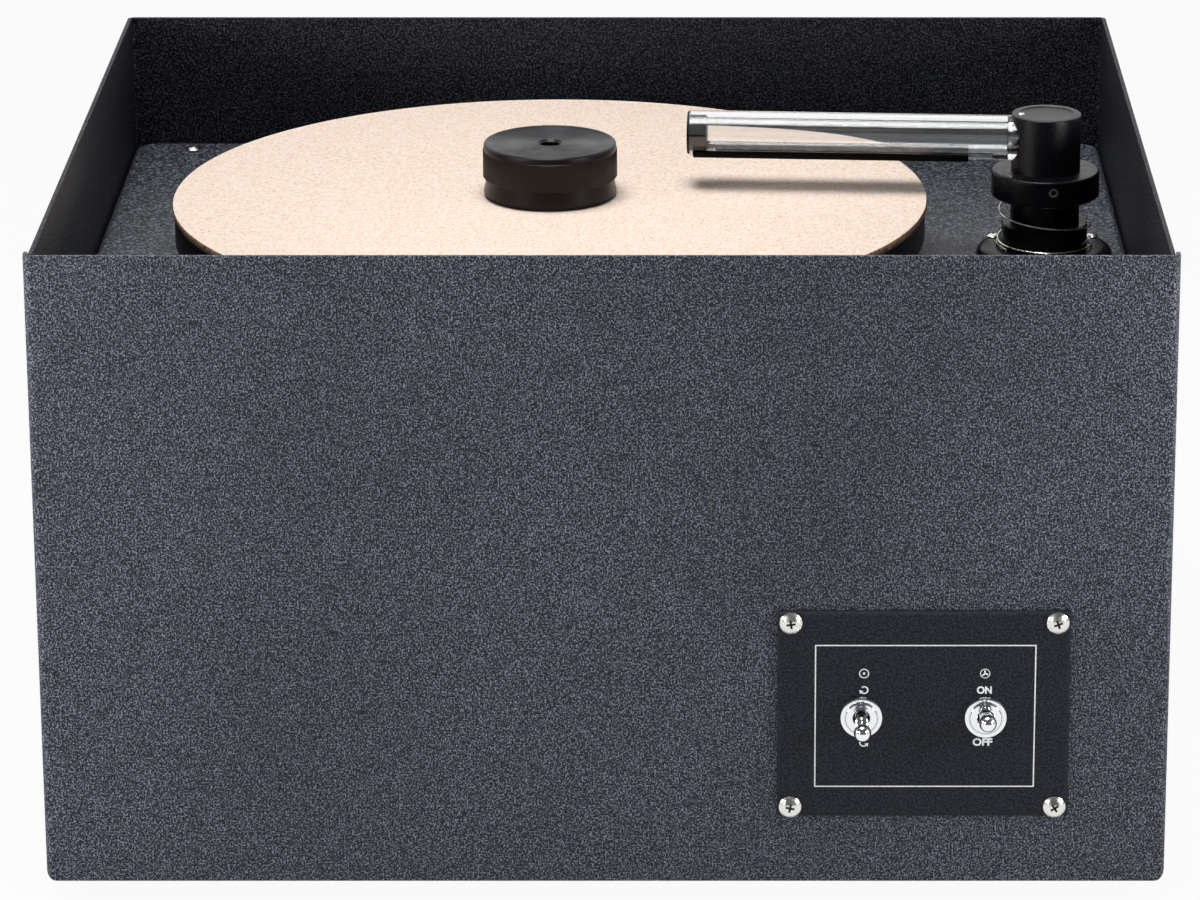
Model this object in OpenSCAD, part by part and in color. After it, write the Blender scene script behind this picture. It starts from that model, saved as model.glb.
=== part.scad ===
// Vacuum record cleaning machine: an open-topped sheet metal case with a driven platter,
// a record clamp on a threaded spindle, and a swivelling clear pick-up tube on a sprung tower.
// Millimetres, +Z up, +X to the right and +Y to the back as the controls face the user.
// The origin is the middle of the part's outline, on the surface that the feet stand on.

/* [Case] */
// Width over the front panel
case_w = 423; // [410:1:450]
// Depth from the front face to the rear face
case_d = 364; // [358:1:385]
// Height of the front panel
case_h = 246.5; // [240:0.5:270]
// Thickness of the case sheet
sheet_t = 1.6; // [1.4:0.1:1.8]
// Outer radius of the sheet bends
bend_r = 3; // [2.4:0.1:4]
// How far the front panel's side flanges reach back
front_flange = 6; // [5:0.5:10]
// Gap between a front flange and the side sheet inside it
flange_gap = 0.45; // [0.4:0.05:0.7]
// Radius of the front panel's lower corners
corner_r = 4; // [2:0.5:8]
// Gap between sheets that slide inside each other
slip_gap = 0.3; // [0.2:0.05:0.5]

/* [Deck and base] */
// Drop from the rim to the deck
deck_drop = 54.8; // [50:0.1:60]
// Gap between the deck and the walls round it
deck_gap = 0.8; // [0.5:0.1:1.2]
// Height of the deck's turned-down edge
deck_lip = 12; // [10:1:16]
// Plan radius of the deck's and the base's corners
tray_corner_r = 9; // [6:1:14]
// Thickness of the base plate
base_t = 2; // [1.6:0.1:2.5]
// Height of the base plate's turned-up edge
base_lip = 14; // [12:1:18]
// Foot height
foot_h = 8; // [6:0.5:12]
// Foot diameter
foot_d = 24; // [20:1:30]
// Foot axis from the side and the front or rear faces
foot_inset = 38; // [34:1:46]
// Diameter of the pillars under the deck
pillar_d = 10; // [8:0.5:12]
// Pillar axis from the side sheet
pillar_from_side = 26; // [20:1:32]
// Pillar axis from the front or rear sheet
pillar_from_end = 14; // [13:0.5:18]
// Spacing of the front panel's weld studs
stud_pitch = 150; // [120:1:170]
// Spacing of the screws along each side
side_screw_pitch = 120; // [100:1:140]

/* [Screws] */
// Shank diameter of the case, deck and panel screws
screw_d = 4; // [3:0.1:4]
// Clearance hole over a screw's diameter
screw_clear = 0.4; // [0.2:0.1:0.8]
// Clearance of a shank in its threaded hole
thread_clear = 0.1; // [0.06:0.02:0.2]
// Head diameter of the deck screws
deck_head_d = 7; // [6:0.5:8]
// Head height of the deck screws
deck_head_h = 2.2; // [1.8:0.1:2.6]
// Head diameter of the case screws
case_head_d = 8; // [6.5:0.5:9]
// Head height of the case screws
case_head_h = 1.8; // [1.4:0.1:2]
// Head diameter of the control plate screws
plate_head_d = 8.4; // [7:0.1:9]
// Head height of the control plate screws
plate_head_h = 2.6; // [2:0.1:3]
// Nut size across flats
nut_af = 7; // [6.5:0.1:8]
// Nut thickness
nut_t = 3.2; // [2.6:0.1:4]

/* [Control plate] */
// Plate width
plate_w = 109.4; // [105:0.1:116]
// Plate height
plate_h = 81.9; // [78:0.1:88]
// Plate thickness
plate_t = 2; // [1.6:0.1:3]
// Plate edge from the case's right side
plate_from_side = 37.4; // [34:0.1:42]
// Plate edge from the case's bottom
plate_from_bottom = 27.2; // [24:0.1:34]
// Plate screws from the plate's left and right edges
plate_screw_in = 5; // [4.6:0.1:6]
// Plate screws from the plate's top and bottom edges
plate_screw_up = 4.2; // [4.2:0.1:5.5]
// Spacing of the two switches
switch_pitch = 46.5; // [44:0.5:50]
// Switches below the plate's middle
switch_drop = 0.3; // [0:0.1:1]
// Switch body width
switch_w = 28; // [24:0.5:30]
// Switch body height
switch_h = 32; // [28:0.5:35]
// Switch body depth behind the plate
switch_deep = 26; // [22:0.5:30]
// Switch bushing diameter
bushing_d = 12; // [11:0.1:12.5]
// How far the bushing stands in front of the plate
bushing_out = 3.4; // [3:0.1:4]
// Dress nut diameter
dress_d = 15.9; // [15:0.1:18]
// Dress nut thickness
dress_t = 3; // [2.6:0.1:3.3]
// Lever tip in front of the plate
lever_out = 21.2; // [17:0.1:24]
// Lever ball diameter
lever_ball_d = 6.6; // [5.6:0.1:7.2]
// Lever neck diameter
lever_neck_d = 4.4; // [4:0.1:4.8]
// Lever pivot behind the plate's face
lever_pivot_in = 1.5; // [1.2:0.1:3]
// Cross pin through the lever's ball
lever_pin_d = 1.6; // [1.2:0.1:2.2]
// How far the cross pin stands out of the ball on each side
lever_pin_out = 0.8; // [0.6:0.1:1.2]
// Lever tilt from level when switched up
lever_tilt = 11; // [9:0.5:15]

/* [Platter] */
// Platter axis to the left of the case's middle
platter_left = 23.9; // [20:0.1:26]
// Platter axis behind the front face
platter_back = 184.3; // [182:0.1:190]
// Cork mat diameter
mat_d = 300; // [296:0.5:303]
// Cork mat thickness
mat_t = 3; // [2:0.1:4]
// How far the mat overhangs the platter all round
mat_over = 0.7; // [0:0.1:1.5]
// Platter thickness
platter_t = 12; // [10:0.5:14]
// Platter's underside above the deck
platter_lift = 11.3; // [10:0.1:13]
// Diameter of the spindle above the platter
spindle_d = 7.1; // [6.6:0.05:7.2]
// Height of the spindle above the mat
spindle_up = 14; // [12:0.5:17]
// Diameter of the drive shaft that carries the platter
shaft_d = 10; // [9:0.1:11]
// Running clearance of a shaft in its bush, per side
run_gap = 0.05; // [0.03:0.01:0.08]
// Hub flange diameter
hub_flange_d = 64; // [58:1:70]
// Hub flange thickness
hub_flange_t = 5; // [4:0.5:6]
// Hub sleeve diameter
hub_d = 24; // [22:0.5:26]
// Hole in the deck round the hub
hub_hole_d = 30; // [28:0.5:34]

/* [Record clamp] */
// Diameter of the knurled grip
clamp_d = 53.4; // [50:0.5:56]
// Height of the whole clamp
clamp_h = 21.8; // [20:0.5:24]
// Height of the flared foot under the grip
clamp_foot_h = 6.6; // [5.5:0.1:7.5]
// Diameter of the groove above the foot
clamp_groove_d = 50.7; // [48:0.1:51.2]
// Thickness of the felt pad
felt_t = 1.2; // [1:0.1:2]
// Depth of the knurl
knurl_deep = 0.35; // [0.2:0.05:0.5]
// Number of teeth in the knurl
knurl_n = 96; // [72:1:120]
// Outer diameter of the threaded insert
insert_d = 12; // [11:0.1:14]
// Length of the threaded insert
insert_h = 12; // [10:0.5:14]

/* [Platter drive] */
// Height of the rubber mounts under the deck
iso_h = 6; // [5:0.5:8]
// Rubber mount diameter
iso_d = 14; // [12:0.5:16]
// Gearcase lid thickness
lid_t = 4; // [3.5:0.5:6]
// Wall of the lid's boss round the shaft
lid_boss_t = 8; // [7:0.5:10]
// Depth of the lid's boss inside the case
lid_boss_h = 4; // [3:0.5:5]
// Height of the gear room inside the gearcase
gear_room = 24; // [22:0.5:28]
// Gearcase floor and wall thickness
gear_wall = 4; // [3:0.5:5]
// Teeth on the platter gear
gear_big_n = 48; // [48:1:48]
// Teeth on each pinion
pinion_n = 12; // [12:1:12]
// Teeth on the layshaft wheel
wheel_n = 50; // [50:1:50]
// Tooth size of the platter gear pair
module_big = 1; // [0.95:0.05:1.05]
// Tooth size of the motor gear pair
module_small = 0.8; // [0.75:0.05:0.85]
// Face width of the gears
gear_face = 6; // [5:0.5:7]
// Layshaft post diameter
post_d = 5; // [4:0.5:5.5]
// Motor can diameter
motor_d = 62; // [58:1:68]
// Motor can height
motor_h = 40; // [38:1:46]
// Motor shaft diameter
motor_shaft_d = 5; // [4:0.5:5.5]

/* [Tower] */
// Tower axis from the case's right side
tower_from_side = 37.9; // [36:0.1:40]
// Tower axis behind the front face
tower_back = 189; // [186:0.5:192]
// Diameter of the tower's shaft and head
tower_d = 27.6; // [26:0.1:28]
// Bore up through the shaft
tower_bore_d = 17; // [15:0.5:18]
// Clearance of the shaft in its bush, per side
tower_gap = 0.06; // [0.04:0.01:0.09]
// Diameter of the flange on the deck
flange_d = 54.6; // [53:0.5:57]
// Thickness of the flange on the deck
flange_t = 4.3; // [4.1:0.1:6.5]
// Radius of the flange's shoulder
shoulder_r = 4; // [2:0.5:4]
// Head diameter of the flange screws
flange_head_d = 5.2; // [4.6:0.1:5.4]
// Head height of the flange screws
flange_head_h = 2.4; // [2:0.1:3.4]
// Pitch circle of the flange screws
flange_pcd = 45.6; // [44.8:0.1:46.4]
// Diameter of the boss above the flange
boss_d = 34.3; // [32:0.1:34.6]
// Height of the boss above the deck
boss_h = 14; // [12:0.1:15]
// How far the bush reaches below the deck
bush_down = 30; // [24:1:36]
// How far the tower pushes down onto the record
drop_travel = 10; // [8:0.5:11]
// Room left over the boss at full travel
drop_spare = 1.9; // [0.4:0.1:2.4]
// Thickness of the record that is cleaned
record_t = 2; // [1.5:0.1:2.5]
// Collar diameter
collar_d = 43.1; // [40:0.1:44]
// Collar height
collar_h = 10.2; // [9.6:0.1:13]
// Thickness of the washer over the spring
washer_t = 1; // [0.8:0.1:1.5]
// Spring wire diameter
wire_d = 0.8; // [0.6:0.1:1]
// Spring diameter to the middle of the wire
spring_d = 36.4; // [36:0.1:36.8]
// Diameter of the spring's lowest turn
spring_low_d = 37.9; // [37.2:0.1:38.4]
// Turns in the spring, the closed one at each end included
spring_turns = 3.5; // [3:0.5:4.5]
// Pick-up tube's outer diameter
tube_d = 18; // [17:0.1:18.4]
// Pick-up tube's wall
tube_wall = 1.7; // [1.4:0.1:2]
// Head's top over the pick-up tube
head_over = 1.2; // [1:0.1:2]
// Clearance from the platter's axis to the tip of the tube
label_clear = 55.4; // [52:0.1:58]
// How far the tube rests swung to the rear, in degrees
rest_swing = 3.5; // [0:0.5:6]
// Suction slot width
slot_w = 1.8; // [1.5:0.1:2.5]
// Suction slot's start from the tower's axis
slot_start = 20.7; // [18:0.1:26]
// Bore of the tube's thick end at the head
thick_bore = 9; // [7:0.5:11]
// Thick end's length from the tower's axis
thick_end = 15; // [14.5:0.1:18]
// Lip strips' start from the tower's axis
strip_start = 30.6; // [28:0.1:36]
// Lip strip thickness
strip_t = 1; // [0.8:0.1:1.3]
// Thickness of the stop ring under the bush
stop_ring_t = 4; // [3:0.5:5]

/* [Waste tank] */
// Tank width
tank_w = 130; // [122:1:134]
// Tank depth
tank_l = 190; // [180:1:196]
// Tank height
tank_h = 92; // [86:1:94]
// Tank wall
tank_wall = 3; // [2.5:0.5:4]
// Gap from the tank to the side sheet
tank_gap = 4; // [3:0.5:8]
// Tank's rear wall in front of the rear sheet
tank_behind = 50.4; // [46:0.1:54]
// Tank lid thickness
tank_lid_t = 4; // [3:0.5:5]
// Height of the gland round the tower's shaft
gland_h = 18; // [16:1:22]
// Gland wall
gland_wall = 5; // [4.5:0.5:7]

/* [Suction] */
// Inner diameter of the suction hose
hose_bore = 30; // [26:1:30]
// Wall of the suction hose
hose_wall = 2; // [1.5:0.5:2.5]
// Bend radius of the suction hose
hose_bend = 34; // [32:1:36]
// Length of hose over each spigot
hose_grip = 12; // [10:1:14]
// Gap between the suction motor's stand and the left side sheet
stand_gap = 8; // [6:0.5:12]
// Axis of the suction motor behind the front face
blower_back = 268; // [266:1:272]
// Diameter of the impeller housing
blower_d = 116; // [112:1:118]
// Height of the impeller housing
blower_h = 34; // [32:1:36]
// Diameter of the suction motor's body
blower_motor_d = 84; // [78:1:88]
// Height of the stand that carries the suction motor
stand_h = 60; // [58:1:62]
// Width and depth of the stand
stand_w = 128; // [124:1:130]
// Sheet of the stand
stand_t = 2; // [1.5:0.5:2.5]
// Impeller diameter
impeller_d = 98; // [92:1:100]
// Number of impeller vanes
vane_n = 8; // [6:1:10]
// Exhaust duct diameter
duct_d = 30; // [28:1:32]

/* [Rear fittings] */
// Cooling fan size
fan_w = 60; // [58:1:64]
// Cooling fan depth
fan_t = 20; // [18:0.5:22]
// Fan axis to the right of the case's middle
fan_x = 10; // [0:1:20]
// Fan axis above the case's bottom
fan_up = 112; // [104:1:120]
// Diameter of the vent holes
vent_d = 5; // [4:0.5:5.5]
// Pitch of the vent holes
vent_pitch = 7.6; // [7:0.1:8]
// Mains inlet axis to the right of the case's middle
inlet_x = -28; // [-34:1:-20]
// Mains inlet axis above the case's bottom
inlet_up = 48; // [42:1:56]
// Mains inlet flange width
inlet_w = 31; // [29:0.5:33]
// Mains inlet flange height
inlet_h = 42; // [40:0.5:46]
// Mains inlet flange thickness
inlet_t = 2.5; // [2:0.1:3]
// Depth of the mains inlet body
inlet_deep = 26; // [24:0.5:30]
// Travel of the fuse drawer
fuse_travel = 15; // [10:0.5:17]
// Drain axis above the tank's floor
drain_up = 14; // [13:0.5:18]
// Drain axis from the tank's left wall
drain_from_wall = 60; // [50:1:70]
// Diameter of the drain tap's tail
tail_d = 14; // [13:0.5:16]
// Length of the drain tap's block behind the case
tap_block = 24.2; // [20:0.1:26]
// Width and height of the drain tap's block
tap_w = 20; // [18:0.5:22]
// Drain spigot diameter
spigot_d = 10; // [9:0.1:11]
// Drain spigot length
spigot_l = 18; // [15:0.5:22]
// Drain bore
drain_bore = 5; // [4:0.1:5.2]
// Diameter of the tap's key
key_d = 9; // [8:0.1:10]
// Length of the tap's handle
key_l = 30; // [26:1:34]

/* [Wiring] */
// Diameter of a switch loom
loom_d = 6; // [5:0.5:7]
// Capacitor diameter
capacitor_d = 32; // [28:1:36]
// Capacitor height
capacitor_h = 52; // [46:1:60]
// Wall of the cup that holds the capacitor
capacitor_cup_t = 1.5; // [1:0.5:2.5]
// Height of the capacitor's cup
capacitor_cup_h = 10; // [8:1:16]
// Width of a wire hole in the terminal block
block_hole_d = 5; // [4:0.5:6]
// Depth of a wire hole in the terminal block
block_hole_deep = 8; // [6:1:12]

/* [Hidden] */
$fn = 64;
// A cut runs past the faces that it opens by this much
past = 1;
// Gap between flat faces of pieces that move apart or turn on each other
face_gap = 0.2;

// Heights
rim_z = foot_h + case_h;
deck_z = rim_z - deck_drop;
deck_under = deck_z - sheet_t;
base_top = foot_h + base_t;
platter_z = deck_z + platter_lift;
mat_z = platter_z + platter_t;
mat_top = mat_z + mat_t;

// Places across and along the case
front_reach = plate_t + lever_out;
rear_reach = tap_block + spigot_l;
front_y = (front_reach - rear_reach - case_d) / 2;
rear_y = front_y + case_d;
front_in = front_y + sheet_t;
rear_in = rear_y - sheet_t;
side_out = case_w / 2 - sheet_t - flange_gap;
side_in = side_out - sheet_t;
platter_pos = [-platter_left, front_y + platter_back];
tower_pos = [case_w / 2 - tower_from_side, front_y + tower_back];
pillar_x = side_in - pillar_from_side;
pillar_ys = [front_in + pillar_from_end, rear_in - pillar_from_end];

// Screws: a hole for a passing shank and one for a threaded shank
hole_d = screw_d + screw_clear;
thread_d = screw_d + thread_clear;
flange_screw_d = screw_d * 0.75;
flange_seat = 1;
deck_shank = 14;
case_shank = 5;

// Heights of the studs and side screws
base_row_z = foot_h + base_lip / 2;
deck_row_z = deck_z - deck_lip / 2 - bend_r / 2;
// Side screws in the deck's lip stand closer to the middle than those in the base's lip
deck_row_pitch = side_screw_pitch * 1.25;
stud_l = sheet_t + deck_gap + nut_t + 2;

// Control plate
plate_x = case_w / 2 - plate_from_side - plate_w / 2;
plate_z = foot_h + plate_from_bottom + plate_h / 2;
switch_z = plate_z - switch_drop;
plate_face = front_y - plate_t;
switch_xs = [plate_x - switch_pitch / 2, plate_x + switch_pitch / 2];
cutout_margin = 1.5;
plate_shank = 10;
plate_bevel = 1;
lever_pivot_y = plate_face + lever_pivot_in;
lever_l = lever_out + lever_pivot_in;
pivot_ball_d = lever_neck_d + 1.6;
lever_mouth_d = lever_neck_d / cos(lever_tilt) + 2 * (lever_pivot_in + bushing_out) * tan(lever_tilt) + 0.6;

// Tower, from the deck up; the collar's skirt hides the washer
collar_skirt = 0.4;
flange_z = deck_z + flange_t;
boss_top = deck_z + boss_h;
washer_z = boss_top + drop_spare + drop_travel;
collar_z = washer_z - collar_skirt;
tube_z = mat_top + record_t + drop_travel + strip_t + tube_d / 2;
head_z = tube_z + tube_d / 2 + head_over;
bush_bottom = deck_under - bush_down;
stop_ring_z = bush_bottom - face_gap - stop_ring_t;
tube_l = norm(tower_pos - platter_pos) - label_clear;
// The tube starts this far from the tower's axis
tube_in = tower_bore_d / 2 + 0.3;
strip_end = tube_l - 1.5;
tube_fit = 0.05;
collar_screw_d = 4.2;
// The collar's set screw stands this far to the right of the front
collar_screw_turn = 5.5;
tube_screw_d = 2.2;
tube_screw_x = tube_in + 1.2;
washer_d = spring_d + wire_d + 1;

// Waste tank
tank_right = side_in - tank_gap;
tank_left = tank_right - tank_w;
tank_y1 = rear_in - tank_behind;
tank_y0 = tank_y1 - tank_l;
seal_t = 1.5;
tank_lid_z = base_top + tank_h + seal_t;
tank_lid_top = tank_lid_z + tank_lid_t;
tower_foot = tank_lid_z - 2 - drop_travel / 2;
gland_top = tank_lid_top + gland_h;
oring_t = 3;
tank_lid_over = 3;
lid_screw_in = 6;

// Suction motor and its stand
hose_d = hose_bore + 2 * hose_wall;
hose_fit = 0.05;
blower_pos = [-side_in + stand_gap + stand_w / 2, front_y + blower_back];
stand_top = base_top + stand_h;
gasket_t = 2;
blower_z = stand_top + gasket_t;
blower_top = blower_z + blower_h;
blower_wall = 2;
tank_port = [tank_left + tank_wall + hose_d / 2 + 6, blower_pos[1]];
port_top = tank_lid_top + hose_grip;
hose_z = max(port_top, blower_top + hose_grip) + hose_bend;
armature_d = 44;
armature_h = 30;
rotor_shaft_d = 8;
blower_motor_h = stand_h - 8;
duct_x = blower_pos[0] + blower_d / 2 - duct_d / 2;
duct_z = blower_z + blower_h / 2;

// Gearbox under the platter
lid_top = deck_under - iso_h;
case_top = lid_top - lid_t;
gear_floor = case_top - gear_room;
case_bottom = gear_floor - gear_wall;
big_r = gear_big_n * module_big / 2;
lay_x = (gear_big_n + pinion_n) * module_big / 2;
motor_dy = (wheel_n + pinion_n) * module_small / 2;
lay_pos = platter_pos + [lay_x, 0];
motor_pos = lay_pos - [0, motor_dy];
gear_lift = 1;
lay_wheel_z = gear_floor + gear_lift;
lay_pinion_z = lay_wheel_z + gear_face;
big_gear_z = lay_pinion_z + gear_lift;
gearcase_x0 = platter_pos[0] - big_r - 10;
gearcase_x1 = lay_pos[0] + wheel_n * module_small / 2 + 14;
gearcase_y0 = motor_pos[1] - motor_d / 2 - 2;
gearcase_y1 = platter_pos[1] + big_r + 10;
gearcase_mid = [(gearcase_x0 + gearcase_x1) / 2, (gearcase_y0 + gearcase_y1) / 2];
gearcase_half = [(gearcase_x1 - gearcase_x0) / 2, (gearcase_y1 - gearcase_y0) / 2];
lug_in = 8;
motor_wall = 1.5;
stator_t = 14;
motor_gap = 1;
motor_bottom = case_bottom - motor_h;

// Rear fittings
fan_pos = [fan_x, rear_in - fan_t, foot_h + fan_up];
fan_hole_d = fan_w - 4;
fan_hub_d = 26;
fan_screw_pitch = fan_w - 10;
inlet_z = foot_h + inlet_up;
socket_w = 23;
socket_h = 16;
socket_deep = 17;
socket_up = 8;
fuse_w = 20;
fuse_h = 8;
fuse_down = 13;
drain_pos = [tank_left + drain_from_wall, base_top + drain_up];

// Wiring on the base
block_pos = [plate_x, front_y + 82];
block_w = 74;
block_l = 22;
block_h = 18;
loom_bend = 12;
loom_z = base_top + 9;
loom_y = front_y + 52;
capacitor_pos = [platter_pos[0] - 60, front_y + 60];

// Least and greatest angles of a lip strip, from straight down
strip_from = 9;
strip_to = 52;

// Sheet that runs level, bends down and hangs: its section from the bend's side
module lip_section(run, lip, t, r) {
    translate([0, -t]) square([run - r, t]);
    translate([run - r, -r]) intersection() {
        difference() {
            circle(r);
            circle(r - t);
        }
        square(r);
    }
    translate([run - t, -lip]) square([t, lip - r]);
}

// Tray with its edges turned down, top face at z = 0
module tray(size, lip, t, r, corner) {
    half = [size[0] / 2 - corner, size[1] / 2 - corner];
    translate([-half[0], -half[1], -t]) cube([2 * half[0], 2 * half[1], t]);
    for (side = [0, 1]) {
        rotate(180 * side) translate([half[0], half[1], 0]) rotate([90, 0, 0])
            linear_extrude(2 * half[1]) lip_section(corner, lip, t, r);
        rotate(90 + 180 * side) translate([half[1], half[0], 0]) rotate([90, 0, 0])
            linear_extrude(2 * half[0]) lip_section(corner, lip, t, r);
        for (end = [0, 1])
            mirror([side, 0, 0]) mirror([0, end, 0]) translate([half[0], half[1], 0])
                rotate_extrude(angle = 90) lip_section(corner, lip, t, r);
    }
}

// Outline, in plan, of sheet bent round two corners, open towards +Y
module bent_outline(w, d, r) {
    translate([-w / 2 + r, 0]) square([w - 2 * r, d]);
    translate([-w / 2, r]) square([w, d - r]);
    for (x = [-1, 1]) translate([x * (w / 2 - r), r]) circle(r);
}

module bent_sheet(w, d, t, r) {
    difference() {
        bent_outline(w, d, r);
        translate([0, t]) bent_outline(w - 2 * t, d, r - t);
    }
}

// Round-headed cross-recess screw, head up from z = 0
module cross_screw(head_d, head_h, shank_d, shank_l) {
    slot = head_d / 7;
    difference() {
        intersection() {
            cylinder(d = head_d, h = head_h);
            translate([0, 0, head_h - head_d * 0.72]) sphere(r = head_d * 0.72);
        }
        for (a = [0, 90]) rotate(a)
            translate([-head_d * 0.29, -slot / 2, head_h * 0.45])
                cube([head_d * 0.58, slot, head_h]);
    }
    translate([0, 0, -shank_l]) cylinder(d = shank_d, h = shank_l + head_h * 0.3);
}

module hex_nut(bore) {
    difference() {
        cylinder(d = nut_af / cos(30), h = nut_t, $fn = 6);
        translate([0, 0, -past]) cylinder(d = bore, h = nut_t + 2 * past);
    }
}

module hole_z(d, from, to) {
    translate([0, 0, from]) cylinder(d = d, h = to - from);
}

// Places of repeated pieces
module at_pillars() {
    for (x = [-1, 1], y = pillar_ys) translate([x * pillar_x, y, 0]) children();
}

module at_feet() {
    for (x = [-1, 1], y = [front_y + foot_inset, rear_y - foot_inset])
        translate([x * (case_w / 2 - foot_inset), y, 0]) children();
}

// Along each side sheet, with +Z pointing out of the case
module at_side_screws() {
    for (s = [-1, 1]) {
        for (k = [-1, 0, 1])
            translate([s * side_out, front_y + case_d / 2 + k * side_screw_pitch, base_row_z])
                rotate([0, s * 90, 0]) children();
        for (k = [-1, 1])
            translate([s * side_out, front_y + case_d / 2 + k * deck_row_pitch / 2, deck_row_z])
                rotate([0, s * 90, 0]) children();
    }
}

module at_rear_screws() {
    for (x = [-stud_pitch * 0.4, stud_pitch * 0.4])
        translate([x, rear_y, base_row_z]) rotate([-90, 0, 0]) children();
}

// Along the inside of the front panel, with +Z pointing back
module at_studs() {
    for (k = [-1, 0, 1], z = [base_row_z, deck_row_z])
        translate([k * stud_pitch, front_in, z]) rotate([-90, 0, 0]) children();
}

module at_plate_screws() {
    for (x = [-1, 1], z = [-1, 1])
        translate([plate_x + x * (plate_w / 2 - plate_screw_in), plate_face,
            plate_z + z * (plate_h / 2 - plate_screw_up)]) rotate([90, 0, 0]) children();
}

module at_gear_lugs() {
    for (x = [-1, 1], y = [-1, 1])
        translate([gearcase_mid[0] + x * (gearcase_half[0] - lug_in),
            gearcase_mid[1] + y * (gearcase_half[1] - lug_in), 0]) children();
}

module at_flange_screws() {
    for (a = [30:120:270]) translate([tower_pos[0], tower_pos[1], 0]) rotate(a)
        translate([flange_pcd / 2, 0, 0]) children();
}

module at_tower() {
    translate([tower_pos[0], tower_pos[1], 0]) rotate(-rest_swing) children();
}

module at_platter() {
    translate([platter_pos[0], platter_pos[1], 0]) children();
}

module at_blower() {
    translate([blower_pos[0], blower_pos[1], 0]) children();
}

// On the drain's axis at the rear face, with +Z pointing back
module at_drain() {
    translate([drain_pos[0], rear_y, drain_pos[1]]) rotate([-90, 0, 0]) children();
}

// Vent holes on rings round an axis, drilled along Y
module vent_holes(rings) {
    for (ring = [0:rings]) for (k = [0:max(0, 6 * ring - 1)])
        rotate([0, k * 60 / max(1, ring), 0]) translate([ring * vent_pitch, 0, 0])
            rotate([90, 0, 0]) cylinder(d = vent_d, h = 4 * sheet_t, center = true);
}

// Case

module front_panel() color("#4b4c50") {
    difference() {
        intersection() {
            translate([0, front_y, foot_h]) linear_extrude(case_h)
                bent_sheet(case_w, front_flange, sheet_t, bend_r);
            translate([0, front_y - past, 0]) rotate([-90, 0, 0])
                linear_extrude(front_flange + 2 * past) panel_outline();
        }
        for (x = switch_xs) translate([x - switch_w / 2 - cutout_margin, front_y - past,
            switch_z - switch_h / 2 - cutout_margin])
            cube([switch_w + 2 * cutout_margin, sheet_t + 2 * past,
                switch_h + 2 * cutout_margin]);
        at_plate_screws() hole_z(thread_d, -plate_shank - past, past);
    }
    at_studs() translate([0, 0, -0.2]) cylinder(d = screw_d, h = stud_l + 0.2);
}

// Front outline with rounded lower corners, as seen along Y with Z turned down
module panel_outline() {
    translate([-case_w / 2, -rim_z]) square([case_w, case_h - corner_r]);
    translate([-case_w / 2 + corner_r, -foot_h - corner_r]) square([case_w - 2 * corner_r, corner_r]);
    for (x = [-1, 1]) translate([x * (case_w / 2 - corner_r), -foot_h - corner_r]) circle(corner_r);
}

module case_wrap() color("#3a3b3f") {
    wrap_y = front_in + 2 * slip_gap;
    difference() {
        translate([0, rear_y, foot_h]) rotate(180) linear_extrude(case_h)
            bent_sheet(2 * side_out, rear_y - wrap_y, sheet_t, bend_r);
        at_side_screws() hole_z(hole_d, -case_shank, past);
        at_rear_screws() hole_z(hole_d, -case_shank, past);
        translate([fan_pos[0], rear_y, fan_pos[2]]) vent_holes(3);
        for (x = [-1, 1], z = [-1, 1]) translate([fan_pos[0] + x * fan_screw_pitch / 2, rear_y,
            fan_pos[2] + z * fan_screw_pitch / 2]) rotate([-90, 0, 0]) hole_z(hole_d, -case_shank, past);
        translate([duct_x, rear_y, duct_z]) vent_holes(1);
        translate([inlet_x, rear_y, inlet_z]) inlet_body_block(slip_gap, 3 * sheet_t);
        at_drain() hole_z(tail_d + 1, -4 * sheet_t, 4 * sheet_t);
    }
}

module base_plate() color("#2b2c2f") {
    y0 = front_in + slip_gap;
    y1 = rear_in - slip_gap;
    difference() {
        translate([0, (y0 + y1) / 2, foot_h]) mirror([0, 0, 1])
            tray([2 * (side_in - slip_gap), y1 - y0], base_lip, base_t, bend_r + 0.4, tray_corner_r);
        at_studs() hole_z(hole_d, -past, stud_l);
        at_side_screws() hole_z(thread_d, -case_shank - past, past);
        at_rear_screws() hole_z(thread_d, -case_shank - past, past);
        at_feet() hole_z(hole_d, 0, base_top + past);
        at_pillars() hole_z(hole_d, 0, base_top + past);
        at_blower() for (a = [0:30:330]) rotate(a) translate([blower_motor_d * 0.32, 0, 0])
            hole_z(6, 0, base_top + past);
        at_drain() hole_z(tail_d + 1, -4 * sheet_t, 4 * sheet_t);
    }
}

module deck_plate() color("#4b4c50") {
    y0 = front_in + deck_gap;
    y1 = rear_in - deck_gap;
    difference() {
        translate([0, (y0 + y1) / 2, deck_z])
            tray([2 * (side_in - deck_gap), y1 - y0], deck_lip, sheet_t, bend_r, tray_corner_r);
        at_studs() hole_z(hole_d, -past, stud_l);
        at_side_screws() hole_z(thread_d, -case_shank - past, past);
        at_pillars() hole_z(hole_d, deck_under - past, deck_z + past);
        at_gear_lugs() hole_z(hole_d, deck_under - past, deck_z + past);
        at_flange_screws() hole_z(flange_screw_d + thread_clear, deck_under - past, deck_z + past);
        at_platter() hole_z(hub_hole_d, deck_under - past, deck_z + past);
        translate([tower_pos[0], tower_pos[1], 0]) hole_z(boss_d + 2 * slip_gap, deck_under - past, deck_z + past);
    }
}

module deck_pillars() color("#b9bcc0") at_pillars() difference() {
    hole_z(pillar_d, base_top, deck_under);
    hole_z(thread_d, base_top - past, base_top + deck_shank + past);
    hole_z(thread_d, deck_under - deck_shank - past, deck_under + past);
}

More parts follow.
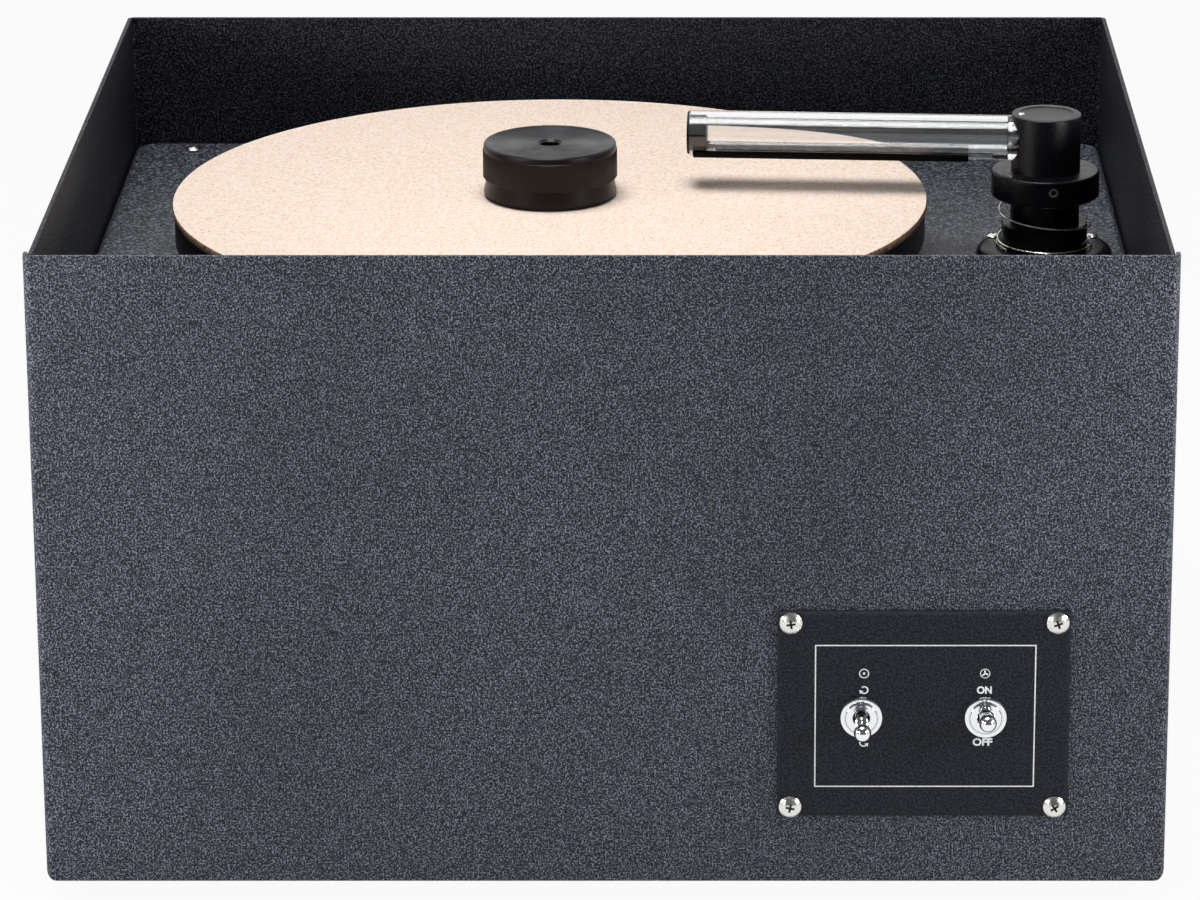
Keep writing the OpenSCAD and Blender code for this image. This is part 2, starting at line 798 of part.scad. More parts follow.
module deck_screws() color("#d4d6d8") {
    at_pillars() translate([0, 0, deck_z]) cross_screw(deck_head_d, deck_head_h, screw_d, deck_shank);
    at_gear_lugs() translate([0, 0, deck_z])
        cross_screw(deck_head_d, deck_head_h, screw_d, sheet_t + iso_h + lid_t + 10);
    at_flange_screws() translate([0, 0, flange_z - flange_seat])
        cross_screw(flange_head_d, flange_head_h, flange_screw_d, flange_t - flange_seat + sheet_t + 2);
}

module case_screws() color("#26272a") {
    at_side_screws() cross_screw(case_head_d, case_head_h, screw_d, case_shank);
    at_rear_screws() cross_screw(case_head_d, case_head_h, screw_d, case_shank);
    at_pillars() translate([0, 0, foot_h]) mirror([0, 0, 1])
        cross_screw(case_head_d, case_head_h, screw_d, base_t + deck_shank - 2);
    at_feet() translate([0, 0, foot_h - foot_h / 2]) mirror([0, 0, 1])
        cross_screw(case_head_d, case_head_h, screw_d, foot_h / 2 + base_t + nut_t + 1);
    for (x = [-1, 1], z = [-1, 1]) translate([fan_pos[0] + x * fan_screw_pitch / 2, rear_y,
        fan_pos[2] + z * fan_screw_pitch / 2]) rotate([-90, 0, 0])
        cross_screw(case_head_d * 0.8, case_head_h, screw_d * 0.8, fan_t);
}

module panel_nuts() color("#b9bcc0") {
    for (k = [-1, 0, 1]) {
        translate([k * stud_pitch, front_in + slip_gap + base_t, base_row_z])
            rotate([-90, 0, 0]) hex_nut(thread_d);
        translate([k * stud_pitch, front_in + deck_gap + sheet_t, deck_row_z])
            rotate([-90, 0, 0]) hex_nut(thread_d);
    }
    at_feet() translate([0, 0, base_top]) hex_nut(thread_d);
}

module feet() color("#1a1a1b") at_feet() difference() {
    union() {
        hole_z(foot_d - 3, 0, foot_h);
        hole_z(foot_d, foot_h / 3, foot_h);
    }
    hole_z(case_head_d + 1.5, -past, foot_h / 2);
    hole_z(hole_d, -past, foot_h + past);
}

// Control plate and switches

module control_plate() color("#222326") difference() {
    translate([plate_x, front_y, plate_z]) rotate([90, 0, 0]) union() {
        translate([-plate_w / 2, -plate_h / 2, 0]) cube([plate_w, plate_h, plate_t - plate_bevel]);
        hull() for (k = [0, 1]) translate([-plate_w / 2 + k * plate_bevel, -plate_h / 2 + k * plate_bevel,
            (plate_t - plate_bevel) * 0.98])
            cube([plate_w - 2 * k * plate_bevel, plate_h - 2 * k * plate_bevel,
                (k == 0) ? (plate_t - plate_bevel) * 0.02 : plate_t - (plate_t - plate_bevel) * 0.98]);
    }
    for (x = switch_xs) translate([x, front_y, switch_z]) rotate([90, 0, 0])
        hole_z(bushing_d + 2 * slip_gap, -past, plate_t + past);
    at_plate_screws() hole_z(hole_d, -plate_t - past, past);
}

module control_plate_screws() color("#d4d6d8") at_plate_screws()
    cross_screw(plate_head_d, plate_head_h, screw_d, plate_shank);

// Switch at the middle of the plate, with +Z out of the front
module switch_body() color("#2a3f66") rotate([90, 0, 0]) difference() {
    union() {
        translate([-switch_w / 2, -switch_h / 2, -switch_deep]) cube([switch_w, switch_h, switch_deep]);
        cylinder(d = bushing_d, h = plate_t + bushing_out);
        for (x = [-1, 1], y = [-1, 0, 1])
            translate([x * switch_w / 4 - 0.4, y * switch_h / 3 - 2, -switch_deep - 6])
                cube([0.8, 4, 6 + past]);
    }
    // The lever's ball sits in this seat and its neck swings in the mouth
    translate([0, 0, plate_t - lever_pivot_in]) {
        sphere(d = pivot_ball_d + 2 * run_gap);
        cylinder(d1 = pivot_ball_d, d2 = lever_mouth_d, h = lever_pivot_in + bushing_out);
        hole_z(lever_mouth_d, lever_pivot_in + bushing_out - 0.01, lever_l);
        rotate([0, 90, 0]) cylinder(d = lever_pin_d + 2 * run_gap,
            h = pivot_ball_d + 2 * (lever_pin_out + slip_gap), center = true);
    }
}

module turntable_switch() translate([switch_xs[0], front_y, switch_z]) switch_body();
module vacuum_switch() translate([switch_xs[1], front_y, switch_z]) switch_body();

module switch_nuts() color("#e6e8ea") for (x = switch_xs)
    translate([x, plate_face, switch_z]) rotate([90, 0, 0]) difference() {
        union() {
            cylinder(d = dress_d, h = dress_t - 1);
            translate([0, 0, dress_t - 1]) cylinder(d1 = dress_d, d2 = dress_d - 2, h = 1);
        }
        translate([0, 0, -past]) cylinder(d = bushing_d + thread_clear, h = dress_t + 2 * past);
    }

// Bat lever along +Z from its pivot
module lever() color("#e6e8ea") {
    ball_r = lever_ball_d / 2;
    sphere(d = pivot_ball_d);
    rotate([0, 90, 0])
        cylinder(d = lever_pin_d, h = pivot_ball_d + 2 * lever_pin_out, center = true);
    cylinder(d = lever_neck_d, h = lever_l * 0.62);
    translate([0, 0, lever_l * 0.42]) cylinder(d1 = lever_neck_d, d2 = lever_ball_d - 0.6,
        h = lever_l * 0.58 - ball_r);
    translate([0, 0, lever_l - ball_r]) sphere(r = ball_r);
}

module turntable_lever() translate([switch_xs[0], lever_pivot_y, switch_z])
    rotate([90, 0, 0]) lever();
module vacuum_lever() translate([switch_xs[1], lever_pivot_y, switch_z])
    rotate([90 - lever_tilt, 0, 0]) lever();

// Platter and record clamp

module platter() color("#1d1d1f") at_platter() difference() {
    hole_z(mat_d - 2 * mat_over, platter_z, mat_z);
    hole_z(shaft_d + 2 * slip_gap, platter_z - past, mat_z + past);
    for (a = [0:120:240]) rotate(a) translate([hub_flange_d * 0.36, 0, 0]) {
        hole_z(hole_d, platter_z - past, mat_z + past);
        hole_z(deck_head_d + 1, mat_z - deck_head_h - 0.4, mat_z + past);
    }
}

module cork_mat() color("#d9b48a") at_platter() difference() {
    hole_z(mat_d, mat_z, mat_top);
    hole_z(spindle_d + 2 * slip_gap, mat_z - past, mat_top + past);
}

spindle_foot = gear_floor + gear_lift;
module spindle() color("#c9ccd0") at_platter() {
    hole_z(shaft_d, spindle_foot, mat_z - 0.2);
    hole_z(spindle_d, mat_z - 1, mat_top + spindle_up - 1.5);
    translate([0, 0, mat_top + spindle_up - 1.5])
        cylinder(d1 = spindle_d, d2 = spindle_d - 2.4, h = 1.5);
}

hub_foot = deck_under - iso_h + 1.2;
module platter_hub() color("#a9adb2") at_platter() difference() {
    union() {
        hole_z(hub_flange_d, platter_z - hub_flange_t, platter_z);
        hole_z(hub_d, hub_foot, platter_z - hub_flange_t + 0.1);
    }
    hole_z(shaft_d + 2 * run_gap, hub_foot - past, platter_z + past);
    for (a = [0:120:240]) rotate(a) translate([hub_flange_d * 0.36, 0, 0])
        hole_z(thread_d, platter_z - hub_flange_t - past, platter_z + past);
}

module hub_screws() color("#d4d6d8") at_platter() for (a = [0:120:240])
    rotate(a) translate([hub_flange_d * 0.36, 0, mat_z - deck_head_h - 0.3])
        cross_screw(deck_head_d, deck_head_h, screw_d, platter_t + hub_flange_t - deck_head_h - 0.6);

clamp_z = mat_top + face_gap;
clamp_body_z = clamp_z + felt_t;
clamp_top = mat_top + clamp_h;
knurl_z = clamp_body_z + clamp_foot_h;
rim_round = 0.9;
rim_band = 2.6;
clamp_foot_d = clamp_d - 0.5;
clamp_rim_r = clamp_d / 2 - knurl_deep - 0.1;
module clamp_pad() color("#2a2a2c") at_platter() difference() {
    hole_z(clamp_groove_d, clamp_z, clamp_body_z);
    hole_z(insert_d + 1, clamp_z - past, clamp_body_z + past);
}

module clamp_knob() color("#161617") at_platter() difference() {
    union() {
        translate([0, 0, clamp_body_z]) rotate_extrude() polygon([[0, 0], [clamp_foot_d / 2, 0],
            [clamp_foot_d / 2, 0.8], [clamp_groove_d / 2, clamp_foot_h - 0.4],
            [clamp_groove_d / 2, clamp_foot_h + 0.2], [0, clamp_foot_h + 0.2]]);
        translate([0, 0, knurl_z]) linear_extrude(clamp_top - rim_band - knurl_z)
            polygon([for (k = [0:2 * knurl_n - 1])
                (clamp_d / 2 - (k % 2) * knurl_deep) * [cos(180 * k / knurl_n), sin(180 * k / knurl_n)]]);
        rotate_extrude() {
            translate([0, clamp_top - rim_band - 0.5]) square([clamp_rim_r, rim_band - rim_round + 0.5]);
            translate([0, clamp_top - rim_band - 0.5]) square([clamp_rim_r - rim_round, rim_band + 0.5]);
            translate([clamp_rim_r - rim_round, clamp_top - rim_round]) intersection() {
                circle(rim_round);
                square(rim_round);
            }
        }
    }
    // Shallow dished top, countersunk centre hole and the insert's seat
    translate([0, 0, clamp_top - 0.3]) cylinder(d1 = clamp_d - 5.4, d2 = clamp_d - 4.6, h = 0.4);
    hole_z(spindle_d + 1, clamp_body_z, clamp_top + past);
    translate([0, 0, clamp_top - 1.2]) cylinder(d1 = spindle_d + 1, d2 = spindle_d + 3.2, h = 1.3);
    hole_z(insert_d + thread_clear, clamp_body_z - past, clamp_body_z + insert_h + 0.2);
}

module clamp_insert() color("#b58a3a") at_platter() difference() {
    hole_z(insert_d, clamp_body_z - felt_t + 0.5, clamp_body_z + insert_h);
    hole_z(spindle_d + 2 * run_gap, clamp_z - past, clamp_body_z + insert_h + past);
}

// Platter drive

function inv(a) = tan(a) * 180 / PI - a;
pressure = 20;
tooth_addendum = 0.75;
tooth_dedendum = 1;
tooth_backlash = 0.07;

// Outline of a spur gear: each flank has its root, base, pitch and tip points
function half_tooth(r, n, m) =
    let (pitch_r = n * m / 2, base_r = pitch_r * cos(pressure))
    90 / n - tooth_backlash / pitch_r * 90 / PI + inv(pressure)
        - ((r > base_r) ? inv(acos(base_r / r)) : 0);
function gear_points(n, m) =
    let (pitch_r = n * m / 2, base_r = pitch_r * cos(pressure), root_r = pitch_r - tooth_dedendum * m,
        tip_r = pitch_r + tooth_addendum * m,
        rs = (root_r < base_r) ? [root_r, base_r, pitch_r, tip_r]
            : [root_r, (root_r + pitch_r) / 2, pitch_r, tip_r])
    [for (k = [0:n - 1]) for (side = [-1, 1]) for (i = [0:3])
        let (r = rs[(side < 0) ? i : 3 - i], a = 360 / n * k + side * half_tooth(r, n, m))
        r * [cos(a), sin(a)]];

module gear(n, m, h) {
    linear_extrude(h) polygon(gear_points(n, m));
}

module gearcase() color("#8d9095") difference() {
    union() {
        difference() {
            translate([gearcase_x0, gearcase_y0, case_bottom])
                cube([2 * gearcase_half[0], 2 * gearcase_half[1], case_top - case_bottom]);
            translate([gearcase_x0 + gear_wall, gearcase_y0 + gear_wall, gear_floor])
                cube([2 * (gearcase_half[0] - gear_wall), 2 * (gearcase_half[1] - gear_wall), gear_room + past]);
        }
        intersection() {
            at_gear_lugs() hole_z(2 * lug_in, gear_floor - 0.1, case_top);
            translate([gearcase_x0, gearcase_y0, case_bottom])
                cube([2 * gearcase_half[0], 2 * gearcase_half[1], case_top - case_bottom]);
        }
        translate([lay_pos[0], lay_pos[1], 0]) hole_z(post_d, gear_floor - 0.1, big_gear_z + gear_face + gear_lift);
    }
    at_gear_lugs() hole_z(thread_d, case_top - 12, case_top + past);
    at_platter() hole_z(shaft_d + 6.04, gear_floor - 3, gear_floor + past);
    translate([motor_pos[0], motor_pos[1], 0])
        hole_z(pinion_n * module_small + 2 * tooth_addendum + 1.5, case_bottom - past, gear_floor + past);
}

module gearcase_lid() color("#8d9095") difference() {
    union() {
        translate([gearcase_x0, gearcase_y0, case_top])
            cube([2 * gearcase_half[0], 2 * gearcase_half[1], lid_t]);
        at_platter() hole_z(shaft_d + 2 * lid_boss_t, case_top - lid_boss_h, case_top + 0.1);
    }
    at_platter() hole_z(shaft_d + 6.04, case_top - lid_boss_h - past, lid_top + past);
    at_gear_lugs() hole_z(hole_d, case_top - past, lid_top + past);
}

module gearbox_mounts() color("#1a1a1b") at_gear_lugs() difference() {
    hole_z(iso_d, lid_top, deck_under);
    hole_z(hole_d, lid_top - past, deck_under + past);
}

module spindle_bushes() color("#b08a4a") at_platter() {
    difference() {
        hole_z(shaft_d + 6, case_top - 4, lid_top);
        hole_z(shaft_d + 2 * run_gap, case_top - 4 - past, lid_top + past);
    }
    difference() {
        hole_z(shaft_d + 6, gear_floor - 3, big_gear_z - face_gap);
        hole_z(shaft_d + 2 * run_gap, gear_floor + gear_lift - face_gap, big_gear_z + past);
    }
}

module output_gear() color("#d8d2c0") at_platter() difference() {
    union() {
        translate([0, 0, big_gear_z]) gear(gear_big_n, module_big, gear_face);
        hole_z(shaft_d + 10, big_gear_z, big_gear_z + gear_face + 2);
    }
    hole_z(shaft_d + 2 * run_gap, big_gear_z - past, big_gear_z + gear_face + 2 + past);
}

// The pinion has a gap, not a tooth, on the line to the platter gear, and the wheel has one
// on the line to the motor's pinion
module cluster_gear() color("#d8d2c0") translate([lay_pos[0], lay_pos[1], 0]) difference() {
    union() {
        translate([0, 0, lay_pinion_z - 0.1]) rotate(180 + 180 / pinion_n)
            gear(pinion_n, module_big, big_gear_z + gear_face - lay_pinion_z + 0.1);
        translate([0, 0, lay_wheel_z]) rotate(-90 + 180 / wheel_n) gear(wheel_n, module_small, gear_face);
    }
    hole_z(post_d + 2 * run_gap, gear_floor, big_gear_z + gear_face + past);
}

rotor_z = motor_bottom + motor_wall + 5;
rotor_h = motor_h - 12;
rotor_d = motor_d - 2 * motor_wall - 2 * stator_t - 2 * motor_gap;
module motor_rotor() color("#7d8186") translate([motor_pos[0], motor_pos[1], 0]) {
    hole_z(motor_shaft_d, motor_bottom + motor_wall + 0.3, lay_wheel_z + gear_face);
    hole_z(rotor_d, rotor_z, rotor_z + rotor_h);
    translate([0, 0, case_bottom + 0.5]) rotate(90)
        gear(pinion_n, module_small, lay_wheel_z + gear_face - case_bottom - 0.5);
}

module motor_stator() color("#a3703a") translate([motor_pos[0], motor_pos[1], 0]) difference() {
    hole_z(motor_d - 2 * motor_wall - 0.1, rotor_z, rotor_z + rotor_h);
    hole_z(rotor_d + 2 * motor_gap, rotor_z - past, rotor_z + rotor_h + past);
}

module motor_can() color("#9a9da2") translate([motor_pos[0], motor_pos[1], 0]) difference() {
    hole_z(motor_d, motor_bottom, case_bottom);
    difference() {
        hole_z(motor_d - 2 * motor_wall, motor_bottom + motor_wall, case_bottom - motor_wall);
        hole_z(motor_shaft_d + 8, motor_bottom, rotor_z - face_gap);
        hole_z(motor_shaft_d + 8, rotor_z + rotor_h + face_gap, case_bottom);
    }
    hole_z(motor_shaft_d + 2 * run_gap, motor_bottom + motor_wall, case_bottom - motor_wall + past);
    hole_z(pinion_n * module_small + 2 * tooth_addendum + 1.5, case_bottom - motor_wall, case_bottom + past);
}

module motor_capacitor() color("#c6c8cc") translate([capacitor_pos[0], capacitor_pos[1], 0]) {
    hole_z(capacitor_d, base_top, base_top + capacitor_h);
    hole_z(capacitor_d + 2 * capacitor_cup_t, base_top, base_top + capacitor_cup_h);
    for (x = [-1, 1]) translate([x * 3, 0, base_top + capacitor_h]) {
        translate([-1, -3, -0.1]) cube([0.8, 6, 8]);
    }
}

// Tower and pick-up tube

module tower_flange() color("#141415") difference() {
    translate([tower_pos[0], tower_pos[1], 0]) difference() {
        union() {
            rotate_extrude() {
                translate([0, deck_z]) square([flange_d / 2, flange_t - shoulder_r]);
                translate([0, deck_z]) square([flange_d / 2 - shoulder_r, flange_t]);
                translate([flange_d / 2 - shoulder_r, flange_z - shoulder_r]) intersection() {
                    circle(shoulder_r);
                    square(shoulder_r);
                }
            }
            hole_z(boss_d, bush_bottom, boss_top);
        }
        hole_z(tower_d + 2 * tower_gap, bush_bottom - past, boss_top + past);
    }
    at_flange_screws() {
        hole_z(flange_screw_d + thread_clear, deck_z - past, flange_z + past);
        hole_z(flange_head_d + 0.6, flange_z - flange_seat, flange_z + past);
    }
}

// Spring: one left-handed wire with a closed turn and a short upright end at the flange and at
// the washer. Its lower end stands at the front left.
spring_sides = 6;
spring_rings = 20;
spring_end_angle = 214;
spring_low = flange_z + 0.05;
spring_high = washer_z - 0.05;
closed_rise = wire_d + 0.5;
// The lowest turn lies a little longer than one round
low_turns = 1.1;
low_rise = closed_rise * pow(low_turns, 3);
wire_low = spring_low + wire_d;
wire_high = spring_high - wire_d;
open_pitch = (wire_high - wire_low - low_rise - closed_rise) / (spring_turns - 1 - low_turns);
function spring_z(t) = (t < low_turns) ? wire_low + low_rise * pow(t / low_turns, 3)
    : (t > spring_turns - 1) ? wire_high - closed_rise * pow(spring_turns - t, 3)
    : wire_low + low_rise + open_pitch * (t - low_turns);
function spring_r(t) = spring_d / 2 + (spring_low_d - spring_d) / 2 * max(0, min(1, 1.8 - t));
function spring_point(t, z) = [spring_r(t) * cos(spring_end_angle - 360 * t),
    spring_r(t) * sin(spring_end_angle - 360 * t), z];
spring_n = spring_turns * spring_rings;
spring_path = concat([spring_point(0, spring_low)],
    [for (k = [0:spring_n]) spring_point(k / spring_rings, spring_z(k / spring_rings))],
    [spring_point(spring_turns, spring_high)]);
function unit(v) = v / norm(v);
function tangent(path, i) = unit(path[min(i + 1, len(path) - 1)] - path[max(i - 1, 0)]);
function ring_at(path, i) =
    let (p = path[i], out = unit([p[0], p[1], 0]),
        t = (i == 0 || i == len(path) - 1) ? [0, 0, 1] : tangent(path, i), side = cross(t, out))
    [for (k = [0:spring_sides - 1]) p + wire_d / 2 * (cos(360 * k / spring_sides) * out
        + sin(360 * k / spring_sides) * unit(side))];
spring_gap = min([for (i = [1:len(spring_path) - 2], j = [1:len(spring_path) - 2])
    if (j >= i + spring_rings - 1) norm(spring_path[i] - spring_path[j])]) - wire_d;
echo(spring_gap_to_itself = spring_gap);

module lift_spring() color("#c9ccd0") translate([tower_pos[0], tower_pos[1], 0]) {
    n = len(spring_path);
    m = spring_sides;
    polyhedron(points = [for (i = [0:n - 1]) each ring_at(spring_path, i)],
        faces = concat(
            [for (i = [0:n - 2], k = [0:m - 1]) [i * m + k, (i + 1) * m + k, i * m + (k + 1) % m]],
            [for (i = [0:n - 2], k = [0:m - 1])
                [(i + 1) * m + k, (i + 1) * m + (k + 1) % m, i * m + (k + 1) % m]],
            [for (k = [1:m - 2]) [0, k, k + 1]],
            [for (k = [1:m - 2]) [(n - 1) * m, (n - 1) * m + k + 1, (n - 1) * m + k]]));
}

module thrust_washer() color("#c9ccd0") translate([tower_pos[0], tower_pos[1], 0]) difference() {
    hole_z(washer_d, washer_z, washer_z + washer_t);
    hole_z(tower_d + 2 * slip_gap, washer_z - past, washer_z + washer_t + past);
}

module tower_shaft() color("#0f0f10") at_tower() difference() {
    hole_z(tower_d, tower_foot, head_z);
    hole_z(tower_bore_d, tower_foot - past, tube_z + tube_d / 2 - 1);
    translate([0, 0, head_z - 0.4]) cylinder(d1 = tower_d - 6, d2 = tower_d - 2, h = 0.4 + past);
    translate([0, 0, tube_z]) rotate([0, -90, 0]) hole_z(tube_d + 2 * tube_fit, 0, tower_d);
    translate([-tube_screw_x, 0, 0]) hole_z(tube_screw_d + thread_clear, tube_z, head_z + past);
    at_collar_screw() hole_z(collar_screw_d + thread_clear, tower_d / 2 - 1, tower_d);
}

// Set screw in the collar, with +Z pointing out of it
module at_collar_screw() {
    translate([0, 0, collar_z + collar_h / 2 + 0.8]) rotate(collar_screw_turn + rest_swing)
        rotate([90, 0, 0]) children();
}

collar_round = 1;
module tower_collar() color("#141415") at_tower() difference() {
    rotate_extrude() difference() {
        translate([0, collar_z]) union() {
            square([collar_d / 2, collar_h - collar_round]);
            square([collar_d / 2 - collar_round, collar_h]);
            translate([collar_d / 2 - collar_round, collar_h - collar_round]) circle(collar_round);
        }
        translate([0, collar_z - past]) square([tower_d / 2 + tower_gap, collar_h + 2 * past]);
        translate([0, collar_z - past])
            square([washer_d / 2 + 0.5, past + collar_skirt + washer_t + face_gap]);
        translate([collar_d / 2, collar_z]) rotate(45) square(1.3, center = true);
    }
    at_collar_screw() hole_z(collar_screw_d + thread_clear, 0, collar_d);
}

// Socket set screws: one in the collar's front and one over the tube
module socket_screw(d, l) difference() {
    cylinder(d = d, h = l);
    translate([0, 0, l - d * 0.5]) cylinder(d = d * 0.55, h = d, $fn = 6);
}

module tower_screws() color("#d4d6d8") at_tower() {
    at_collar_screw() translate([0, 0, tower_d / 2 - 0.6])
        socket_screw(collar_screw_d, (collar_d - tower_d) / 2 + 0.3);
    translate([-tube_screw_x, 0, tube_z + tube_d / 2 + 0.02])
        socket_screw(tube_screw_d, head_over - 0.12);
}

module shaft_stop_ring() color("#c9ccd0") at_tower() difference() {
    hole_z(tower_d + 7, stop_ring_z, stop_ring_z + stop_ring_t);
    hole_z(tower_d + 2 * tower_gap, stop_ring_z - past, stop_ring_z + stop_ring_t + past);
}

// Along the pick-up tube, with +Z towards its tip and +X up
module at_tube() at_tower() translate([0, 0, tube_z]) rotate([0, -90, 0]) children();

module pickup_tube() color("#dfe8ee", 0.35) at_tube() difference() {
    hole_z(tube_d, tube_in, tube_l);
    hole_z(thick_bore, tube_in - past, tube_l);
    hole_z(tube_d - 2 * tube_wall, thick_end, tube_l + past);
    translate([-tube_d, -slot_w / 2, slot_start]) cube([tube_d, slot_w, strip_end - slot_start - 9]);
}

module tube_plug() color("#1a1a1b") at_tube() {
    hole_z(tube_d - 2 * tube_wall - 0.1, tube_l - 7, tube_l);
    hole_z(tube_d - 0.8, tube_l, tube_l + 0.8);
}

module velvet_strips() color("#0c0c0d") at_tube() for (s = [-1, 1])
    translate([0, 0, strip_start]) linear_extrude(strip_end - strip_start) intersection() {
        difference() {
            circle(d = tube_d + 2 * strip_t);
            circle(d = tube_d);
        }
        polygon([[0, 0], for (a = [strip_from, (strip_from + strip_to) / 2, strip_to])
            tube_d * [-cos(a), s * sin(a)]]);
    }

// Waste tank

module waste_tank() color("#d9dcdc") difference() {
    translate([tank_left, tank_y0, base_top]) cube([tank_w, tank_l, tank_h]);
    translate([tank_left + tank_wall, tank_y0 + tank_wall, base_top + tank_wall])
        cube([tank_w - 2 * tank_wall, tank_l - 2 * tank_wall, tank_h]);
    translate([drain_pos[0], tank_y1, drain_pos[1]]) rotate([90, 0, 0])
        hole_z(tail_d + 2 * tube_fit, -past, tank_wall + past);
}

module tank_lid() color("#d9dcdc") difference() {
    union() {
        translate([tank_left, tank_y0, tank_lid_z]) cube([tank_w, tank_l, tank_lid_t]);
        translate([tower_pos[0], tower_pos[1], 0]) hole_z(tower_d + 2 * gland_wall, tank_lid_z, gland_top);
        translate([tank_port[0], tank_port[1], 0])
            hole_z(hose_bore - 2 * hose_fit, tank_lid_z, port_top);
        // Splash wall between the inlet and the outlet
        translate([tank_left + tank_wall + 8 + hose_d, tank_y0 + tank_wall + 1, tank_lid_z - tank_h * 0.45])
            cube([2, tank_l - 2 * tank_wall - 2, tank_h * 0.45 + 0.1]);
    }
    translate([tower_pos[0], tower_pos[1], 0]) {
        hole_z(tower_d + 0.4, tank_lid_z - past, gland_top + past);
        hole_z(tower_d + gland_wall, gland_top - oring_t, gland_top + past);
    }
    translate([tank_port[0], tank_port[1], 0]) hole_z(hose_bore - 6, tank_lid_z - past, port_top + past);
}

module tank_seals() color("#2a2a2c") {
    difference() {
        translate([tank_left, tank_y0, base_top + tank_h]) cube([tank_w, tank_l, seal_t]);
        translate([tank_left + tank_wall, tank_y0 + tank_wall, base_top + tank_h - past])
            cube([tank_w - 2 * tank_wall, tank_l - 2 * tank_wall, seal_t + 2 * past]);
    }
    translate([tower_pos[0], tower_pos[1], 0]) difference() {
        hole_z(tower_d + gland_wall - 2 * tube_fit, gland_top - oring_t, gland_top);
        hole_z(tower_d + 2 * tower_gap, gland_top - oring_t - past, gland_top + past);
    }
}

// Suction hose: up from the tank lid, across, and down onto the impeller housing
module hose_run(d) {
    leg_a = hose_z - hose_bend - tank_lid_top;
    leg_b = hose_z - hose_bend - blower_top;
    span = tank_port[0] - blower_pos[0] - 2 * hose_bend;
    translate([tank_port[0], tank_port[1], tank_lid_top]) cylinder(d = d, h = leg_a);
    translate([blower_pos[0], blower_pos[1], blower_top]) cylinder(d = d, h = leg_b);
    translate([blower_pos[0] + hose_bend, blower_pos[1], hose_z]) rotate([0, 90, 0])
        cylinder(d = d, h = span);
    translate([tank_port[0] - hose_bend, tank_port[1], hose_z - hose_bend]) rotate([90, 0, 0])
        rotate_extrude(angle = 90) translate([hose_bend, 0]) circle(d = d);
    translate([blower_pos[0] + hose_bend, blower_pos[1], hose_z - hose_bend]) rotate([90, 0, 0])
        rotate(90) rotate_extrude(angle = 90) translate([hose_bend, 0]) circle(d = d);
}

module vacuum_hose() color("#3c3d40") difference() {
    hose_run(hose_d);
    hose_run(hose_bore);
    for (p = [tank_port, blower_pos]) translate([p[0], p[1], 0])
        hole_z(hose_bore, min(tank_lid_top, blower_top) - past, hose_z - hose_bend);
}

module vacuum_stand() color("#b9bcc0") at_blower() difference() {
    union() {
        translate([-stand_w / 2, -stand_w / 2, stand_top - stand_t]) cube([stand_w, stand_w, stand_t]);
        for (s = [-1, 1]) {
            translate([s * (stand_w / 2 - stand_t / 2) - stand_t / 2, -stand_w / 2, base_top])
                cube([stand_t, stand_w, stand_h]);
            translate([s * (stand_w / 2 - 6) - 6, -stand_w / 2, base_top]) cube([12, stand_w, stand_t]);
        }
    }
    hole_z(blower_motor_d + 4, base_top + 2 * stand_t, stand_top + past);
}

// Motor body hung through the stand, on a flange with a rubber ring under it
module vacuum_motor() color("#8d9095") at_blower() difference() {
    union() {
        hole_z(blower_motor_d, stand_top - blower_motor_h, blower_z);
        hole_z(blower_d - 6, stand_top, blower_z);
    }
    hole_z(armature_d + 6, stand_top - blower_motor_h + 6, stand_top - 4);
    hole_z(rotor_shaft_d + 2 * run_gap, stand_top - blower_motor_h + 3, blower_z + past);
}

module vacuum_housing() color("#9a9da2") difference() {
    union() {
        at_blower() hole_z(blower_d, blower_z, blower_top);
        at_blower() hole_z(hose_bore - 2 * hose_fit, blower_top - 0.1, blower_top + hose_grip);
        translate([duct_x, blower_pos[1], duct_z]) rotate([-90, 0, 0])
            cylinder(d = duct_d, h = rear_in - slip_gap - blower_pos[1]);
        translate([duct_x, rear_in - slip_gap - 2, duct_z]) rotate([-90, 0, 0])
            cylinder(d = duct_d + 6, h = 2);
    }
    at_blower() hole_z(blower_d - 2 * blower_wall, blower_z - past, blower_top - blower_wall);
    at_blower() hole_z(hose_bore - 6, blower_top - blower_wall - past, blower_top + hose_grip + past);
    translate([duct_x, blower_pos[1], duct_z]) rotate([-90, 0, 0])
        cylinder(d = duct_d - 4, h = rear_in - blower_pos[1] + past);
}

module vacuum_impeller() color("#c9ccd0") at_blower() {
    hole_z(rotor_shaft_d, stand_top - blower_motor_h + 3.3, blower_z + 20);
    hole_z(armature_d, stand_top - blower_motor_h + 10, stand_top - blower_motor_h + 10 + armature_h);
    hole_z(impeller_d, blower_z + 4, blower_z + 6);
    difference() {
        hole_z(impeller_d, blower_z + 18, blower_z + 20);
        hole_z(hose_bore, blower_z + 17, blower_z + 21);
    }
    for (a = [0:360 / vane_n:359]) rotate(a) translate([hose_bore / 2 + 2, 0, blower_z + 5.9]) rotate(35)
        cube([impeller_d / 2 - hose_bore / 2 - 10, 1.2, 12.2]);
}

// Rear fittings

